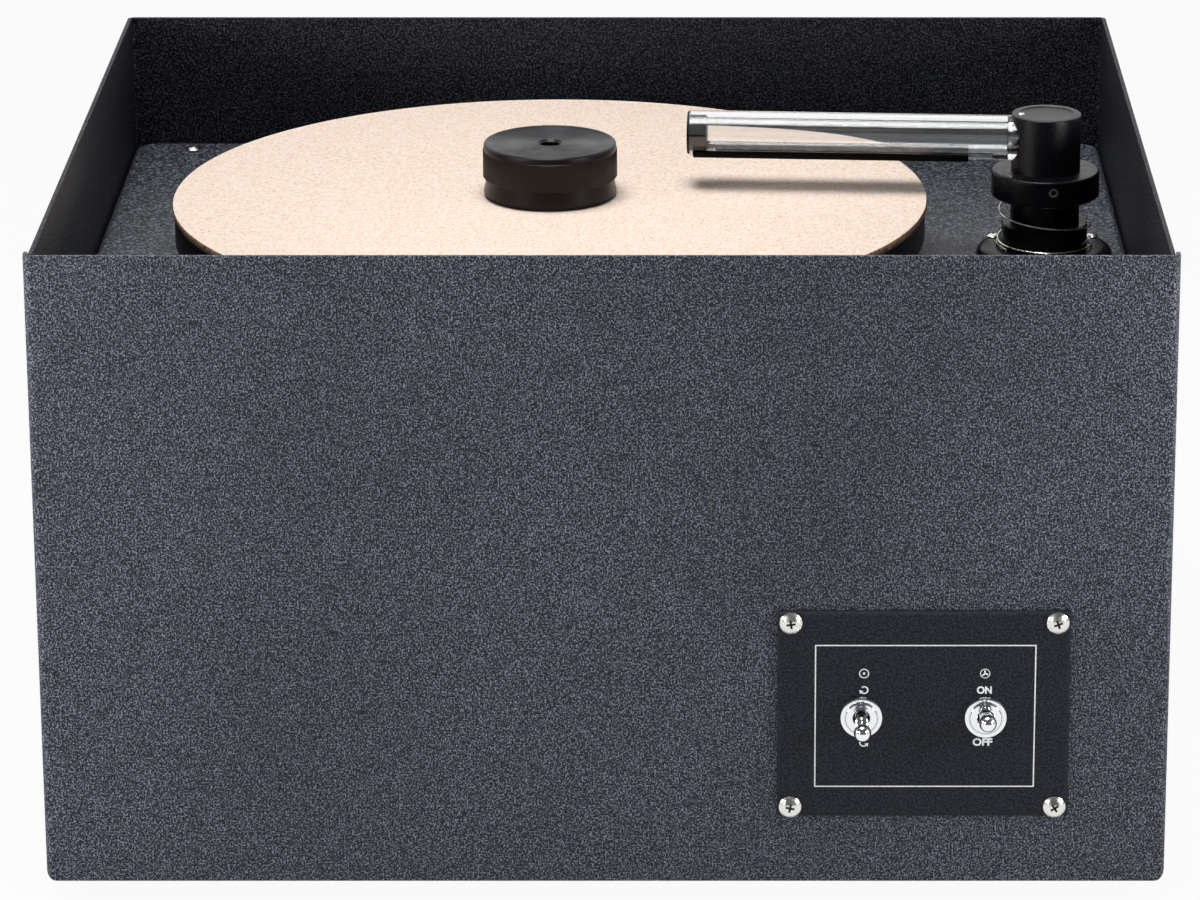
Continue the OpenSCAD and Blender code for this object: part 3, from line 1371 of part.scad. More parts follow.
module fan_frame() color("#1d1d1f") translate(fan_pos) difference() {
    union() {
        difference() {
            translate([-fan_w / 2, 0, -fan_w / 2]) cube([fan_w, fan_t, fan_w]);
            rotate([-90, 0, 0]) hole_z(fan_hole_d, -past, fan_t + past);
        }
        rotate([-90, 0, 0]) hole_z(fan_hub_d, 0, 3);
        rotate([-90, 0, 0]) hole_z(4, 2.9, fan_t - 4);
        for (a = [45:90:315]) rotate([0, a, 0]) translate([-1.5, 0, fan_hub_d / 2 - 1])
            cube([3, 2.5, (fan_w - fan_hub_d) / 2 + 1]);
    }
    for (x = [-1, 1], z = [-1, 1]) translate([x * fan_screw_pitch / 2, 0, z * fan_screw_pitch / 2])
        rotate([-90, 0, 0]) hole_z(screw_d * 0.8 + thread_clear, -past, fan_t + past);
}

module fan_rotor() color("#2a2a2c") translate(fan_pos) difference() {
    union() {
        rotate([-90, 0, 0]) hole_z(fan_hub_d, 3 + face_gap, fan_t - 2);
        for (a = [0:360 / 7:359]) rotate([0, a, 0]) translate([0, fan_t / 2 + 0.5, fan_hub_d / 2 - 1])
            rotate([0, 0, 32]) translate([-5.5, -0.6, 0]) cube([11, 1.2, (fan_hole_d - fan_hub_d) / 2 - 0.4]);
    }
    rotate([-90, 0, 0]) hole_z(4 + 2 * run_gap, 0, fan_t - 4 + face_gap);
}

// Inlet body's outline through the sheet, grown by a gap
module inlet_body_block(gap, deep) {
    translate([-inlet_w / 2 + 2 - gap, -deep, -inlet_h / 2 + 2 - gap])
        cube([inlet_w - 4 + 2 * gap, deep + past, inlet_h - 4 + 2 * gap]);
}

module power_inlet() color("#18181a") translate([inlet_x, rear_y, inlet_z]) {
    difference() {
        union() {
            translate([-inlet_w / 2, 0, -inlet_h / 2]) cube([inlet_w, inlet_t, inlet_h]);
            translate([-inlet_w / 2 + 2, -inlet_deep, -inlet_h / 2 + 2])
                cube([inlet_w - 4, inlet_deep + 0.1, inlet_h - 4]);
        }
        translate([-socket_w / 2, inlet_t - socket_deep, socket_up - socket_h / 2])
            cube([socket_w, socket_deep + past, socket_h]);
        translate([-fuse_w / 2, inlet_t - fuse_travel - 3, -fuse_down - fuse_h / 2])
            cube([fuse_w, fuse_travel + 3 + past, fuse_h]);
    }
    for (p = [[-7, 1], [7, 1], [0, 5]]) translate([p[0] - 1, inlet_t - socket_deep - 0.1, socket_up + p[1] - 2 - 1])
        cube([2, socket_deep - 2, 4]);
}

fuse_gap = 0.25;
module fuse_drawer() color("#232326") translate([inlet_x, rear_y + inlet_t, inlet_z - fuse_down]) difference() {
    union() {
        translate([-fuse_w / 2 + fuse_gap, -fuse_travel - 2, -fuse_h / 2 + fuse_gap])
            cube([fuse_w - 2 * fuse_gap, fuse_travel + 2, fuse_h - 2 * fuse_gap]);
        translate([-fuse_w / 2 - 1, face_gap, -fuse_h / 2 - 0.6]) cube([fuse_w + 2, 1.6, fuse_h + 1.2]);
        translate([-fuse_w / 2 + fuse_gap, -0.1, -fuse_h / 2 + fuse_gap])
            cube([fuse_w - 2 * fuse_gap, face_gap + 0.2, fuse_h - 2 * fuse_gap]);
    }
    translate([-fuse_w / 2 + 2.5, -fuse_travel - 0.5, -fuse_h / 2 + 1.5]) cube([fuse_w - 5, fuse_travel - 3, fuse_h]);
}

// Drain tap: a tail from the tank through the rear sheet, a block and a hose spigot
module drain_tap() color("#b9bcc0") translate([drain_pos[0], rear_y, drain_pos[1]]) difference() {
    union() {
        rotate([-90, 0, 0]) hole_z(tail_d, tank_y1 - rear_y - tank_wall - 3, 0.1);
        rotate([-90, 0, 0]) hole_z(tail_d + 8, tank_y1 - rear_y - tank_wall - 3, tank_y1 - rear_y - tank_wall);
        rotate([-90, 0, 0]) hole_z(tail_d + 8, tank_y1 - rear_y, tank_y1 - rear_y + 4);
        translate([-tap_w / 2, 0, -tap_w / 2]) cube([tap_w, tap_block, tap_w]);
        rotate([-90, 0, 0]) hole_z(spigot_d, tap_block - 0.1, tap_block + spigot_l);
    }
    rotate([-90, 0, 0]) hole_z(drain_bore, tank_y1 - rear_y - tank_wall - 4, tap_block + spigot_l + past);
    translate([0, tap_block / 2, 0]) hole_z(key_d + 2 * run_gap, -tap_w / 2 + 3, tap_w / 2 + past);
}

// Key: its handle points along the flow when open, and to the right when shut
module tap_key() color("#a33025") translate([drain_pos[0], rear_y + tap_block / 2, drain_pos[1]]) difference() {
    handle_z = tap_w / 2 + face_gap + 0.6;
    union() {
        hole_z(key_d, -tap_w / 2 + 3 + face_gap, handle_z + 1);
        hole_z(key_d + 4, handle_z, handle_z + 5);
        translate([0, -3, handle_z]) cube([key_l - 6, 6, 5]);
        translate([key_l - 6, 0, 0]) hole_z(7, handle_z, handle_z + 5);
    }
    rotate([0, 90, 0]) hole_z(drain_bore, -key_d, key_d);
}

// Wiring

module terminal_block() color("#e8e4d4") translate([block_pos[0], block_pos[1], base_top]) difference() {
    translate([-block_w / 2, -block_l / 2, 0]) cube([block_w, block_l, block_h]);
    for (k = [-3:3]) translate([k * block_w / 8, 0, block_h - block_hole_deep])
        cylinder(d = block_hole_d, h = block_hole_deep + past);
}

// Each loom leaves the block, bends up, and bends forward into its switch
module loom(x) {
    rise_y = loom_y;
    top_z = switch_z;
    back_y = front_y + switch_deep + 6.3;
    translate([x, rise_y + loom_bend, loom_z]) rotate([-90, 0, 0])
        cylinder(d = loom_d, h = block_pos[1] - block_l / 2 - 0.1 - rise_y - loom_bend);
    translate([x, rise_y + loom_bend, loom_z + loom_bend]) rotate([90, 0, -90]) rotate(-90)
        rotate_extrude(angle = 90) translate([loom_bend, 0]) circle(d = loom_d);
    translate([x, rise_y, loom_z + loom_bend]) cylinder(d = loom_d, h = top_z - loom_z - 2 * loom_bend);
    translate([x, rise_y - loom_bend, top_z - loom_bend]) rotate([90, 0, 90])
        rotate_extrude(angle = 90) translate([loom_bend, 0]) circle(d = loom_d);
    translate([x, back_y, top_z]) rotate([-90, 0, 0]) cylinder(d = loom_d, h = rise_y - loom_bend - back_y);
}

module wiring_loom() color("#8a1f1a") for (x = switch_xs) loom(x);

front_panel();
case_wrap();
base_plate();
deck_plate();
deck_pillars();
deck_screws();
case_screws();
panel_nuts();
feet();
control_plate();
control_plate_screws();
turntable_switch();
vacuum_switch();
switch_nuts();
turntable_lever();
vacuum_lever();
platter();
cork_mat();
spindle();
platter_hub();
hub_screws();
clamp_pad();
clamp_knob();
clamp_insert();
gearcase();
gearcase_lid();
gearbox_mounts();
spindle_bushes();
output_gear();
cluster_gear();
motor_rotor();
motor_stator();
motor_can();
motor_capacitor();
tower_flange();
lift_spring();
thrust_washer();
tower_shaft();
tower_collar();
tower_screws();
shaft_stop_ring();
pickup_tube();
tube_plug();
velvet_strips();
waste_tank();
tank_lid();
tank_seals();
vacuum_hose();
vacuum_stand();
vacuum_motor();
vacuum_housing();
vacuum_impeller();
fan_frame();
fan_rotor();
power_inlet();
fuse_drawer();
drain_tap();
tap_key();
terminal_block();
wiring_loom();
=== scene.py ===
"""Looks of the record cleaning machine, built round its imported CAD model."""
import math
import random

import bmesh
import bpy
from mathutils import Matrix, Vector


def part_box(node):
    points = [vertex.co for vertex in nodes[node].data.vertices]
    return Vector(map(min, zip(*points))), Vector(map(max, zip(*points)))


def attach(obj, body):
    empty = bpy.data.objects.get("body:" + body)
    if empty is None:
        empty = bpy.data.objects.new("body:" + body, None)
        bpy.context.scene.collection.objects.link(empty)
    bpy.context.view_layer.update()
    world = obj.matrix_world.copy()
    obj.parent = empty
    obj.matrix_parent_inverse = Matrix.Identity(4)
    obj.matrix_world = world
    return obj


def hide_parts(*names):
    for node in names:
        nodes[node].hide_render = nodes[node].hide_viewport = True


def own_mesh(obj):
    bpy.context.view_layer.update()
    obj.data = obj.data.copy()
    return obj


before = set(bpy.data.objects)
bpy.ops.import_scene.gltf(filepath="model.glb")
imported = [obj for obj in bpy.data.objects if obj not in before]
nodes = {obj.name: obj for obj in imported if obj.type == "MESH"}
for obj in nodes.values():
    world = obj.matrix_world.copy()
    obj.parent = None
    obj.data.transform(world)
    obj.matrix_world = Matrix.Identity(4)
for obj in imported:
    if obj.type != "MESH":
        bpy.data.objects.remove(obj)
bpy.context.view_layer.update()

# Camera: it stands well back, a little right of the middle, and looks down on the rim. The lens
# and the shift give the photograph's framing.
view = bpy.data.cameras.new("camera")
view.sensor_width = 36.0
view.lens = 161.34
view.shift_x = -0.0857
view.shift_y = -0.0496
view.clip_start = 0.05
camera = bpy.data.objects.new("camera", view)
camera.location = (0.0369, -2.073, 0.806)
camera.rotation_euler = (math.radians(72.23), 0.0, 0.0)
bpy.context.scene.collection.objects.link(camera)
bpy.context.scene.camera = camera
bpy.context.scene.view_settings.view_transform = "Standard"


# Case: bent steel sheet in a charcoal powder coat that dried into small bumps. The front panel is
# one sheet with a short flange at each side. The side and rear walls are a second sheet whose
# inner faces are darkened by painted shade, and the deck is a tray between them.
def finish(name, colour, roughness, metallic=0.0, specular=0.5):
    """A finish with one shader."""
    made = bpy.data.materials.new(name)
    made.use_nodes = True
    shader = made.node_tree.nodes["Principled BSDF"]
    shader.inputs["Base Color"].default_value = (*colour, 1.0)
    shader.inputs["Roughness"].default_value = roughness
    shader.inputs["Metallic"].default_value = metallic
    shader.inputs["Specular IOR Level"].default_value = specular
    return made


def dress(finish_used, *names):
    """Gives the CAD nodes their finish."""
    for name in names:
        mesh = nodes[name].data
        mesh.materials.clear()
        mesh.materials.append(finish_used)


def grain(made, size, stretch=(1.0, 1.0, 1.0), detail=2.0, seed=0.0):
    """Noise on the piece's own metres whose blobs are about size across. Returns its value."""
    tree = made.node_tree
    place = tree.nodes.new("ShaderNodeTexCoord")
    turn = tree.nodes.new("ShaderNodeMapping")
    turn.inputs["Scale"].default_value = stretch
    turn.inputs["Location"].default_value = (seed, seed, seed)
    noise = tree.nodes.new("ShaderNodeTexNoise")
    noise.inputs["Scale"].default_value = 1.0 / size
    noise.inputs["Detail"].default_value = detail
    tree.links.new(place.outputs["Object"], turn.inputs["Vector"])
    tree.links.new(turn.outputs["Vector"], noise.inputs["Vector"])
    return noise.outputs["Fac"]


def shades(made, value, stops):
    """Colour ramp over a value: stops are pairs of a place and a colour."""
    ramp = made.node_tree.nodes.new("ShaderNodeValToRGB")
    band = ramp.color_ramp
    while len(band.elements) < len(stops):
        band.elements.new(0.5)
    for stop, (place, colour) in zip(band.elements, stops):
        stop.position = place
        stop.color = (*colour, 1.0)
    made.node_tree.links.new(value, ramp.inputs["Fac"])
    return ramp.outputs["Color"]


def multiplied(made, first, *others):
    """Colours multiplied by each other."""
    for colour in others:
        mix = made.node_tree.nodes.new("ShaderNodeMix")
        mix.data_type = "RGBA"
        mix.blend_type = "MULTIPLY"
        mix.inputs["Factor"].default_value = 1.0
        made.node_tree.links.new(first, mix.inputs["A"])
        made.node_tree.links.new(colour, mix.inputs["B"])
        first = mix.outputs["Result"]
    return first


def maths(tree, operation, first, second=None):
    """The result of a maths node. Each input is a number or another node's value."""
    node = tree.nodes.new("ShaderNodeMath")
    node.operation = operation
    for socket, value in zip(node.inputs, (first, second)):
        if isinstance(value, float):
            socket.default_value = value
        elif value is not None:
            tree.links.new(value, socket)
    return node.outputs[0]


def coloured(made, colour):
    """The finish's colour from a node's value."""
    made.node_tree.links.new(colour, made.node_tree.nodes["Principled BSDF"].inputs["Base Color"])


def roughened(made, value, low, high):
    """Roughness between two limits that follows a noise, whose values stay near the middle."""
    noise_low, noise_high = 0.35, 0.65
    spread = made.node_tree.nodes.new("ShaderNodeMapRange")
    spread.inputs["From Min"].default_value = noise_low
    spread.inputs["From Max"].default_value = noise_high
    spread.inputs["To Min"].default_value = low
    spread.inputs["To Max"].default_value = high
    made.node_tree.links.new(value, spread.inputs["Value"])
    made.node_tree.links.new(
        spread.outputs["Result"], made.node_tree.nodes["Principled BSDF"].inputs["Roughness"])


def raised(made, value, height, strength):
    """Bump that follows a value, with its height in metres."""
    bump = made.node_tree.nodes.new("ShaderNodeBump")
    bump.inputs["Strength"].default_value = strength
    bump.inputs["Distance"].default_value = height
    made.node_tree.links.new(value, bump.inputs["Height"])
    made.node_tree.links.new(
        bump.outputs["Normal"], made.node_tree.nodes["Principled BSDF"].inputs["Normal"])


def build(name, shape, finish_used, body, replaced=(), edge=0.0, second=None):
    """A piece from a shape in millimetres: it rides on its body, stands for the CAD nodes it
    replaces, and has its sharp edges rounded by edge millimetres. Faces of material index 1 get
    the second finish."""
    bmesh.ops.transform(shape, matrix=Matrix.Scale(0.001, 4), verts=shape.verts)
    mesh = bpy.data.meshes.new(name)
    shape.to_mesh(mesh)
    shape.free()
    mesh.materials.append(finish_used)
    if second:
        mesh.materials.append(second)
    mesh.shade_smooth()
    piece = bpy.data.objects.new(name, mesh)
    bpy.context.scene.collection.objects.link(piece)
    if edge:
        rounding = piece.modifiers.new("edges", "BEVEL")
        rounding.width = edge * 0.001
        rounding.segments = 3
        rounding.limit_method = "ANGLE"
        rounding.angle_limit = math.radians(30.0)
        rounding.harden_normals = True
    else:
        mesh.set_sharp_from_angle(angle=math.radians(35.0))
    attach(piece, body)
    if replaced:
        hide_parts(*replaced)
    return piece


def coat(name, size, specular, inside=1.0):
    """The powder coat: hard specks of a size on a dark ground. Faces inside the case's outer
    walls are dimmed by the inside factor, as painted shade."""
    made = finish(name, (0.06, 0.062, 0.072), 0.5, specular=specular)
    fine_grain = grain(made, size, detail=3.0)
    bump_grain = grain(made, 1.8 * size, detail=3.0, seed=0.2)
    dark_pits = grain(made, 0.006, stretch=(0.6, 1.0, 1.6), detail=4.0, seed=0.4)
    broad_cloud = grain(made, 0.11, detail=2.0, seed=0.7)
    speckle = shades(made, fine_grain,
                     [(0.43, (0.005, 0.0056, 0.008)), (0.50, (0.026, 0.0285, 0.038)),
                      (0.60, (0.28, 0.30, 0.38))])
    lumps = shades(made, bump_grain, [(0.38, (0.5, 0.5, 0.52)), (0.58, (1.0, 1.0, 1.0))])
    pits = shades(made, dark_pits, [(0.24, (0.2, 0.2, 0.2)), (0.29, (1.0, 1.0, 1.0))])
    cloud = shades(made, broad_cloud, [(0.3, (0.78, 0.78, 0.79)), (0.7, (1.0, 1.0, 1.0))])
    side_wall, rear_wall = 0.2108, 0.1718
    tree = made.node_tree
    place = tree.nodes.new("ShaderNodeTexCoord")
    along = tree.nodes.new("ShaderNodeSeparateXYZ")
    tree.links.new(place.outputs["Object"], along.inputs["Vector"])
    sideways = maths(tree, "ABSOLUTE", along.outputs["X"])
    outer = maths(tree, "MAXIMUM", maths(tree, "GREATER_THAN", sideways, side_wall),
                  maths(tree, "GREATER_THAN", along.outputs["Y"], rear_wall))
    # Painted shade: faces inside the outer walls are dimmed to the inside factor.
    inner_shade = shades(made, outer, [(0.4, (inside,) * 3), (0.6, (1.0, 1.0, 1.0))])
    coloured(made, multiplied(made, speckle, lumps, pits, cloud, inner_shade))
    raised(made, bump_grain, 0.8 * size, 0.9)
    return made


charcoal_coat = coat("charcoal_coat", 0.00062, 0.3)
# The deck lies wholly inside the walls, so the inside factor dims all of it evenly.
deck_coat = coat("deck_coat", 0.0011, 0.6, inside=0.6)
dress(deck_coat, "deck_plate")
# Painted shade: the inner faces of the side and rear walls are dimmed to 0.28 of the coat.
wall_coat = coat("wall_coat", 0.00075, 0.15, inside=0.28)
dress(wall_coat, "case_wrap")

half_width, front_y, rim_z, floor_gap = 211.5, -191.5, 254.5, 8.0
bend, flange_end, panel_corner, sheet, panel_edge = 3.0, 6.0, 4.0, 1.6, 0.4
right_side = [(half_width - panel_corner, front_y)] + [
    (half_width - bend + bend * math.sin(turn), front_y + bend - bend * math.cos(turn))
    for turn in [math.radians(15 * k) for k in range(7)]] + [(half_width, front_y + flange_end)]
plan = [(-x, y) for x, y in reversed(right_side)] + right_side
panel = bmesh.new()
foot_line = [panel.verts.new((x, y, floor_gap)) for x, y in plan]
folds = [panel.edges.new(pair) for pair in zip(foot_line, foot_line[1:])]
raised_edge = bmesh.ops.extrude_edge_only(panel, edges=folds)["geom"]
bmesh.ops.translate(panel, vec=(0.0, 0.0, rim_z - floor_gap),
                    verts=[item for item in raised_edge if isinstance(item, bmesh.types.BMVert)])
for corner in foot_line:
    past_corner = min(abs(corner.co.x) - (half_width - panel_corner), panel_corner)
    if past_corner > 0.0:
        corner.co.z += panel_corner - math.sqrt(panel_corner ** 2 - past_corner ** 2)
bmesh.ops.recalc_face_normals(panel, faces=panel.faces)
panel.faces.ensure_lookup_table()
if panel.faces[len(plan) // 2 - 1].normal.y > 0.0:
    bmesh.ops.reverse_faces(panel, faces=panel.faces)
front_sheet = build("front_sheet", panel, charcoal_coat, "case", ["front_panel"])
thickness = front_sheet.modifiers.new("thickness", "SOLIDIFY")
thickness.thickness = sheet * 0.001
thickness.use_even_offset = True
front_edges = front_sheet.modifiers.new("edges", "BEVEL")
front_edges.width = panel_edge * 0.001
front_edges.segments = 3
front_edges.limit_method = "ANGLE"
front_edges.angle_limit = math.radians(40.0)
front_edges.harden_normals = True

# Base tray, screws, studs and feet: the tray has a finer coat, the screws are zinc-plated or
# black steel, and the feet are dark rubber.
base_coat = finish("base_coat", (0.03, 0.031, 0.034), 0.55)
raised(base_coat, grain(base_coat, 0.0009, detail=3.0), 0.0002, 0.5)
dress(base_coat, "base_plate")

bright_zinc = finish("bright_zinc", (0.78, 0.77, 0.75), 0.24, 1.0)
plating = grain(bright_zinc, 0.002, detail=4.0)
roughened(bright_zinc, plating, 0.16, 0.34)
dress(bright_zinc, "hub_screws", "tower_screws", "panel_nuts")

dull_zinc = finish("dull_zinc", (0.55, 0.56, 0.57), 0.42, 1.0)
roughened(dull_zinc, grain(dull_zinc, 0.004, detail=5.0), 0.32, 0.55)
dress(dull_zinc, "deck_pillars", "vacuum_stand", "thrust_washer", "shaft_stop_ring", "spindle",
      "motor_capacitor")

# Painted shade: dark brown for the faces inside screw recesses and hex sockets, where shade falls.
recess_shade = finish("recess_shade", (0.075, 0.05, 0.035), 0.6, 0.4)
coloured(recess_shade, shades(recess_shade, grain(recess_shade, 0.0007),
                              [(0.4, (0.03, 0.02, 0.015)), (0.6, (0.16, 0.10, 0.065))]))

black_steel = finish("black_steel", (0.02, 0.02, 0.021), 0.4)
roughened(black_steel, grain(black_steel, 0.0015, detail=3.0), 0.3, 0.5)
dress(black_steel, "case_screws")

foot_rubber = finish("foot_rubber", (0.018, 0.018, 0.018), 0.75)
raised(foot_rubber, grain(foot_rubber, 0.0006), 0.0001, 0.5)
dress(foot_rubber, "feet", "gearbox_mounts", "tank_seals")


# Round-headed screws of the deck, the tower's flange and the control plate: plated steel, with a
# domed head and a cross recess.
def spun(outline, steps=96, closed=True):
    """A shape turned on a lathe: its outline, as (radius, height) pairs, is spun round Z."""
    shape = bmesh.new()
    corners = [shape.verts.new((radius, 0.0, height)) for radius, height in outline]
    sides = [shape.edges.new(pair) for pair in zip(corners, corners[1:])]
    if closed:
        sides.append(shape.edges.new((corners[-1], corners[0])))
    bmesh.ops.spin(shape, geom=corners + sides, cent=(0.0, 0.0, 0.0), axis=(0.0, 0.0, 1.0),
                   angle=2.0 * math.pi, steps=steps, use_merge=True)
    bmesh.ops.remove_doubles(shape, verts=shape.verts, dist=0.0005)
    bmesh.ops.recalc_face_normals(shape, faces=shape.faces)
    return shape


def block(low, high):
    """A box between two corners."""
    shape = bmesh.new()
    size = [b - a for a, b in zip(low, high)]
    middle = [(a + b) / 2.0 for a, b in zip(low, high)]
    bmesh.ops.create_cube(shape, size=1.0, matrix=Matrix.Translation(middle)
                          @ Matrix.Diagonal((*size, 1.0)))
    return shape


def bored(blank, *tools):
    """The blank with each tool's shape cut out of it."""
    holders = []
    for shape in (blank, *tools):
        mesh = bpy.data.meshes.new("cut")
        shape.to_mesh(mesh)
        shape.free()
        holders.append(bpy.data.objects.new("cut", mesh))
        bpy.context.scene.collection.objects.link(holders[-1])
    for tool in holders[1:]:
        cut = holders[0].modifiers.new("cut", "BOOLEAN")
        cut.operation = "DIFFERENCE"
        cut.solver = "EXACT"
        cut.object = tool
    bpy.context.view_layer.update()
    seen_by = bpy.context.evaluated_depsgraph_get()
    result = bmesh.new()
    result.from_mesh(bpy.data.meshes.new_from_object(holders[0].evaluated_get(seen_by)))
    for holder in holders:
        bpy.data.objects.remove(holder)
    return result


def joined(*shapes):
    """Several shapes as one."""
    whole = bmesh.new()
    for shape in shapes:
        mesh = bpy.data.meshes.new("joined")
        shape.to_mesh(mesh)
        shape.free()
        whole.from_mesh(mesh)
        bpy.data.meshes.remove(mesh)
    return whole


def placed(shape, matrix):
    """The shape, moved by the matrix."""
    bmesh.ops.transform(shape, matrix=matrix, verts=shape.verts)
    return shape


def domed_screw(head, height, shank, length):
    """A screw with its head up from z = 0."""
    dome = head * 0.72
    side = height - dome + math.sqrt(dome ** 2 - head ** 2 / 4.0)
    lean = math.asin(head / 2.0 / dome)
    cap = [(dome * math.sin(lean * k / 8.0), height - dome + dome * math.cos(lean * k / 8.0))
           for k in range(9)]
    body = spun([(0.0, -length), (shank / 2.0, -length), (shank / 2.0, 0.0),
                 (head / 2.0 - 0.15, 0.0), (head / 2.0, 0.15), (head / 2.0, side * 0.9)]
                + cap[::-1], steps=48, closed=False)
    arm, width = head * 0.2, head * 0.05
    slots = []
    for quarter in (0.0, math.pi / 2.0):
        slot = block((-arm, -width, height * 0.45), (arm, width, height + 0.5))
        slots.append(placed(slot, Matrix.Rotation(quarter, 4, "Z")))
    screw = bored(body, *slots)
    # The cross recess's faces take index 1, for the painted recess shade.
    for face in screw.faces:
        middle = face.calc_center_median()
        near, far = sorted((abs(middle.x), abs(middle.y)))
        face.material_index = int(near < width + 0.02 and far < arm + 0.02 and middle.z > 0.0)
    return screw


def spots(shapes_at):
    """One shape for each place, joined."""
    return joined(*[placed(make(), where) for make, where in shapes_at])


deck_z = 199.7
tower = Vector((173.6, -2.5, 0.0))
flange_z, flange_seat, flange_circle = 204.0, 1.0, 22.8
flange_turns = [math.radians(angle) for angle in (30, 150, 270)]
flange_places = [Matrix.Translation(tower + Vector((
    flange_circle * math.cos(turn), flange_circle * math.sin(turn), flange_z - flange_seat)))
    for turn in flange_turns]
pillar_side, pillar_rows, gear_inset = 181.85, (-175.9, 156.9), 8.0
gear_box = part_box("gearcase")
gear_low, gear_high = gear_box[0] * 1000.0, gear_box[1] * 1000.0


def deck_screw():
    return domed_screw(7.0, 2.2, 4.0, 14.0)


def flange_screw():
    return domed_screw(5.2, 2.4, 3.0, 7.0)


screw_places = [(deck_screw, Matrix.Translation((x, y, deck_z)))
                for x in (-pillar_side, pillar_side) for y in pillar_rows]
screw_places += [(deck_screw, Matrix.Translation((x, y, deck_z)))
                 for x in (gear_low.x + gear_inset, gear_high.x - gear_inset)
                 for y in (gear_low.y + gear_inset, gear_high.y - gear_inset)]
screw_places += [(flange_screw, place @ Matrix.Rotation(turn * 1.7, 4, "Z"))
                 for place, turn in zip(flange_places, flange_turns)]
build("deck_screw_set", spots(screw_places), bright_zinc, "case", ["deck_screws"],
      second=recess_shade)

# Control plate: thin aluminium plate in the same coat, finer and darker, held by four domed
# screws. A white frame line, the switch words and plain signs are printed on it.
plate_coat = finish("plate_coat", (0.03, 0.031, 0.036), 0.5, specular=0.2)
plate_grain = grain(plate_coat, 0.0008, detail=3.0)
coloured(plate_coat, shades(plate_coat, plate_grain,
                            [(0.42, (0.004, 0.0045, 0.007)), (0.58, (0.022, 0.025, 0.036))]))
raised(plate_coat, grain(plate_coat, 0.0011, detail=3.0, seed=0.3), 0.0003, 0.8)
dress(plate_coat, "control_plate")

plate_x, plate_z, plate_face = 119.4, 76.15, -193.5
switch_z, switch_pitch = 75.85, 46.5
screw_x, screw_up = 49.7, 36.75


def plate_screw():
    return domed_screw(8.4, 2.6, 4.0, 10.0)


forward = Matrix.Rotation(math.radians(90.0), 4, "X")
corner_turns = {(-1, 1): 8, (1, 1): 20, (-1, -1): -12, (1, -1): 33}
plate_corners = [(plate_screw, Matrix.Translation((
    plate_x + side * screw_x, plate_face, plate_z + up * screw_up))
    @ forward @ Matrix.Rotation(math.radians(turn), 4, "Z"))
    for (side, up), turn in corner_turns.items()]
build("plate_screw_set", spots(plate_corners), bright_zinc, "case",
      ["control_plate_screws"], second=recess_shade)

print_white = finish("print_white", (0.83, 0.84, 0.84), 0.55)
ink_grain = grain(print_white, 0.0006, detail=2.0)
coloured(print_white, shades(print_white, ink_grain,
                             [(0.34, (0.74, 0.75, 0.76)), (0.48, (0.95, 0.96, 0.96))]))


def word(text, width, height):
    """A printed word, flat and centred, of the given size."""
    letters = bpy.data.curves.new("word", "FONT")
    letters.body = text
    letters.size = 4.6
    letters.offset = 0.19
    holder = bpy.data.objects.new("word", letters)
    bpy.context.scene.collection.objects.link(holder)
    bpy.context.view_layer.update()
    seen_by = bpy.context.evaluated_depsgraph_get()
    shape = bmesh.new()
    shape.from_mesh(bpy.data.meshes.new_from_object(holder.evaluated_get(seen_by)))
    bpy.data.objects.remove(holder)
    for axis, size in ((0, width), (1, height)):
        low = min(point.co[axis] for point in shape.verts)
        high = max(point.co[axis] for point in shape.verts)
        for point in shape.verts:
            point.co[axis] = (point.co[axis] - (low + high) / 2.0) * size / (high - low)
    return shape


def ring(outer, inner, start=0.0, sweep=360.0):
    """A flat ring or a part of one, swept anticlockwise from start, in degrees."""
    shape = bmesh.new()
    ends = [shape.verts.new((inner, 0.0, 0.0)), shape.verts.new((outer, 0.0, 0.0))]
    edge = shape.edges.new(ends)
    bmesh.ops.rotate(shape, verts=ends, cent=(0.0, 0.0, 0.0),
                     matrix=Matrix.Rotation(math.radians(start), 3, "Z"))
    bmesh.ops.spin(shape, geom=ends + [edge], cent=(0.0, 0.0, 0.0), axis=(0.0, 0.0, 1.0),
                   angle=math.radians(sweep), steps=48, use_merge=sweep == 360.0)
    return shape


def arrow_head(width, length):
    """A flat triangle that points along +Y from its base."""
    shape = bmesh.new()
    bmesh.ops.create_circle(shape, cap_ends=True, segments=3, radius=1.0)
    low = min(point.co.y for point in shape.verts)
    for point in shape.verts:
        point.co = ((point.co.x / 0.8660 * width / 2.0), (point.co.y - low) / 1.5 * length, 0.0)
    return shape


def turn_sign(clockwise):
    """Three quarters of a ring with an arrow head."""
    radius, line, sweep = 1.35, 0.5, 265.0
    if clockwise:
        arc = ring(radius + line / 2, radius - line / 2, 130.0 - sweep, sweep)
        tip = Matrix.Rotation(math.radians(130.0 - sweep), 4, "Z") @ Matrix.Translation(
            (radius, 0.0, 0.0)) @ Matrix.Rotation(math.pi, 4, "Z")
    else:
        arc = ring(radius + line / 2, radius - line / 2, 50.0, sweep)
        tip = Matrix.Rotation(math.radians(50.0 + sweep), 4, "Z") @ Matrix.Translation(
            (radius, 0.0, 0.0))
    return joined(arc, placed(arrow_head(1.7, 1.3), tip))


def disc_sign():
    """A round plate with its spindle."""
    return joined(ring(1.9, 1.5), ring(0.5, 0.001))


def fan_sign():
    """A ring with three blades."""
    shapes = [ring(1.9, 1.6)]
    for turn in (90.0, 210.0, 330.0):
        blade = bmesh.new()
        bmesh.ops.create_circle(blade, cap_ends=True, segments=24, radius=1.0)
        shapes.append(placed(blade, Matrix.Rotation(math.radians(turn), 4, "Z")
                             @ Matrix.Translation((0.68, 0.1, 0.0))
                             @ Matrix.Diagonal((0.68, 0.34, 1.0, 1.0))))
    return joined(*shapes)


def on_plate(shape, x, z):
    """A flat sign, stood up on the plate's face."""
    return placed(shape, Matrix.Translation((x, plate_face - 0.04, z)) @ forward)


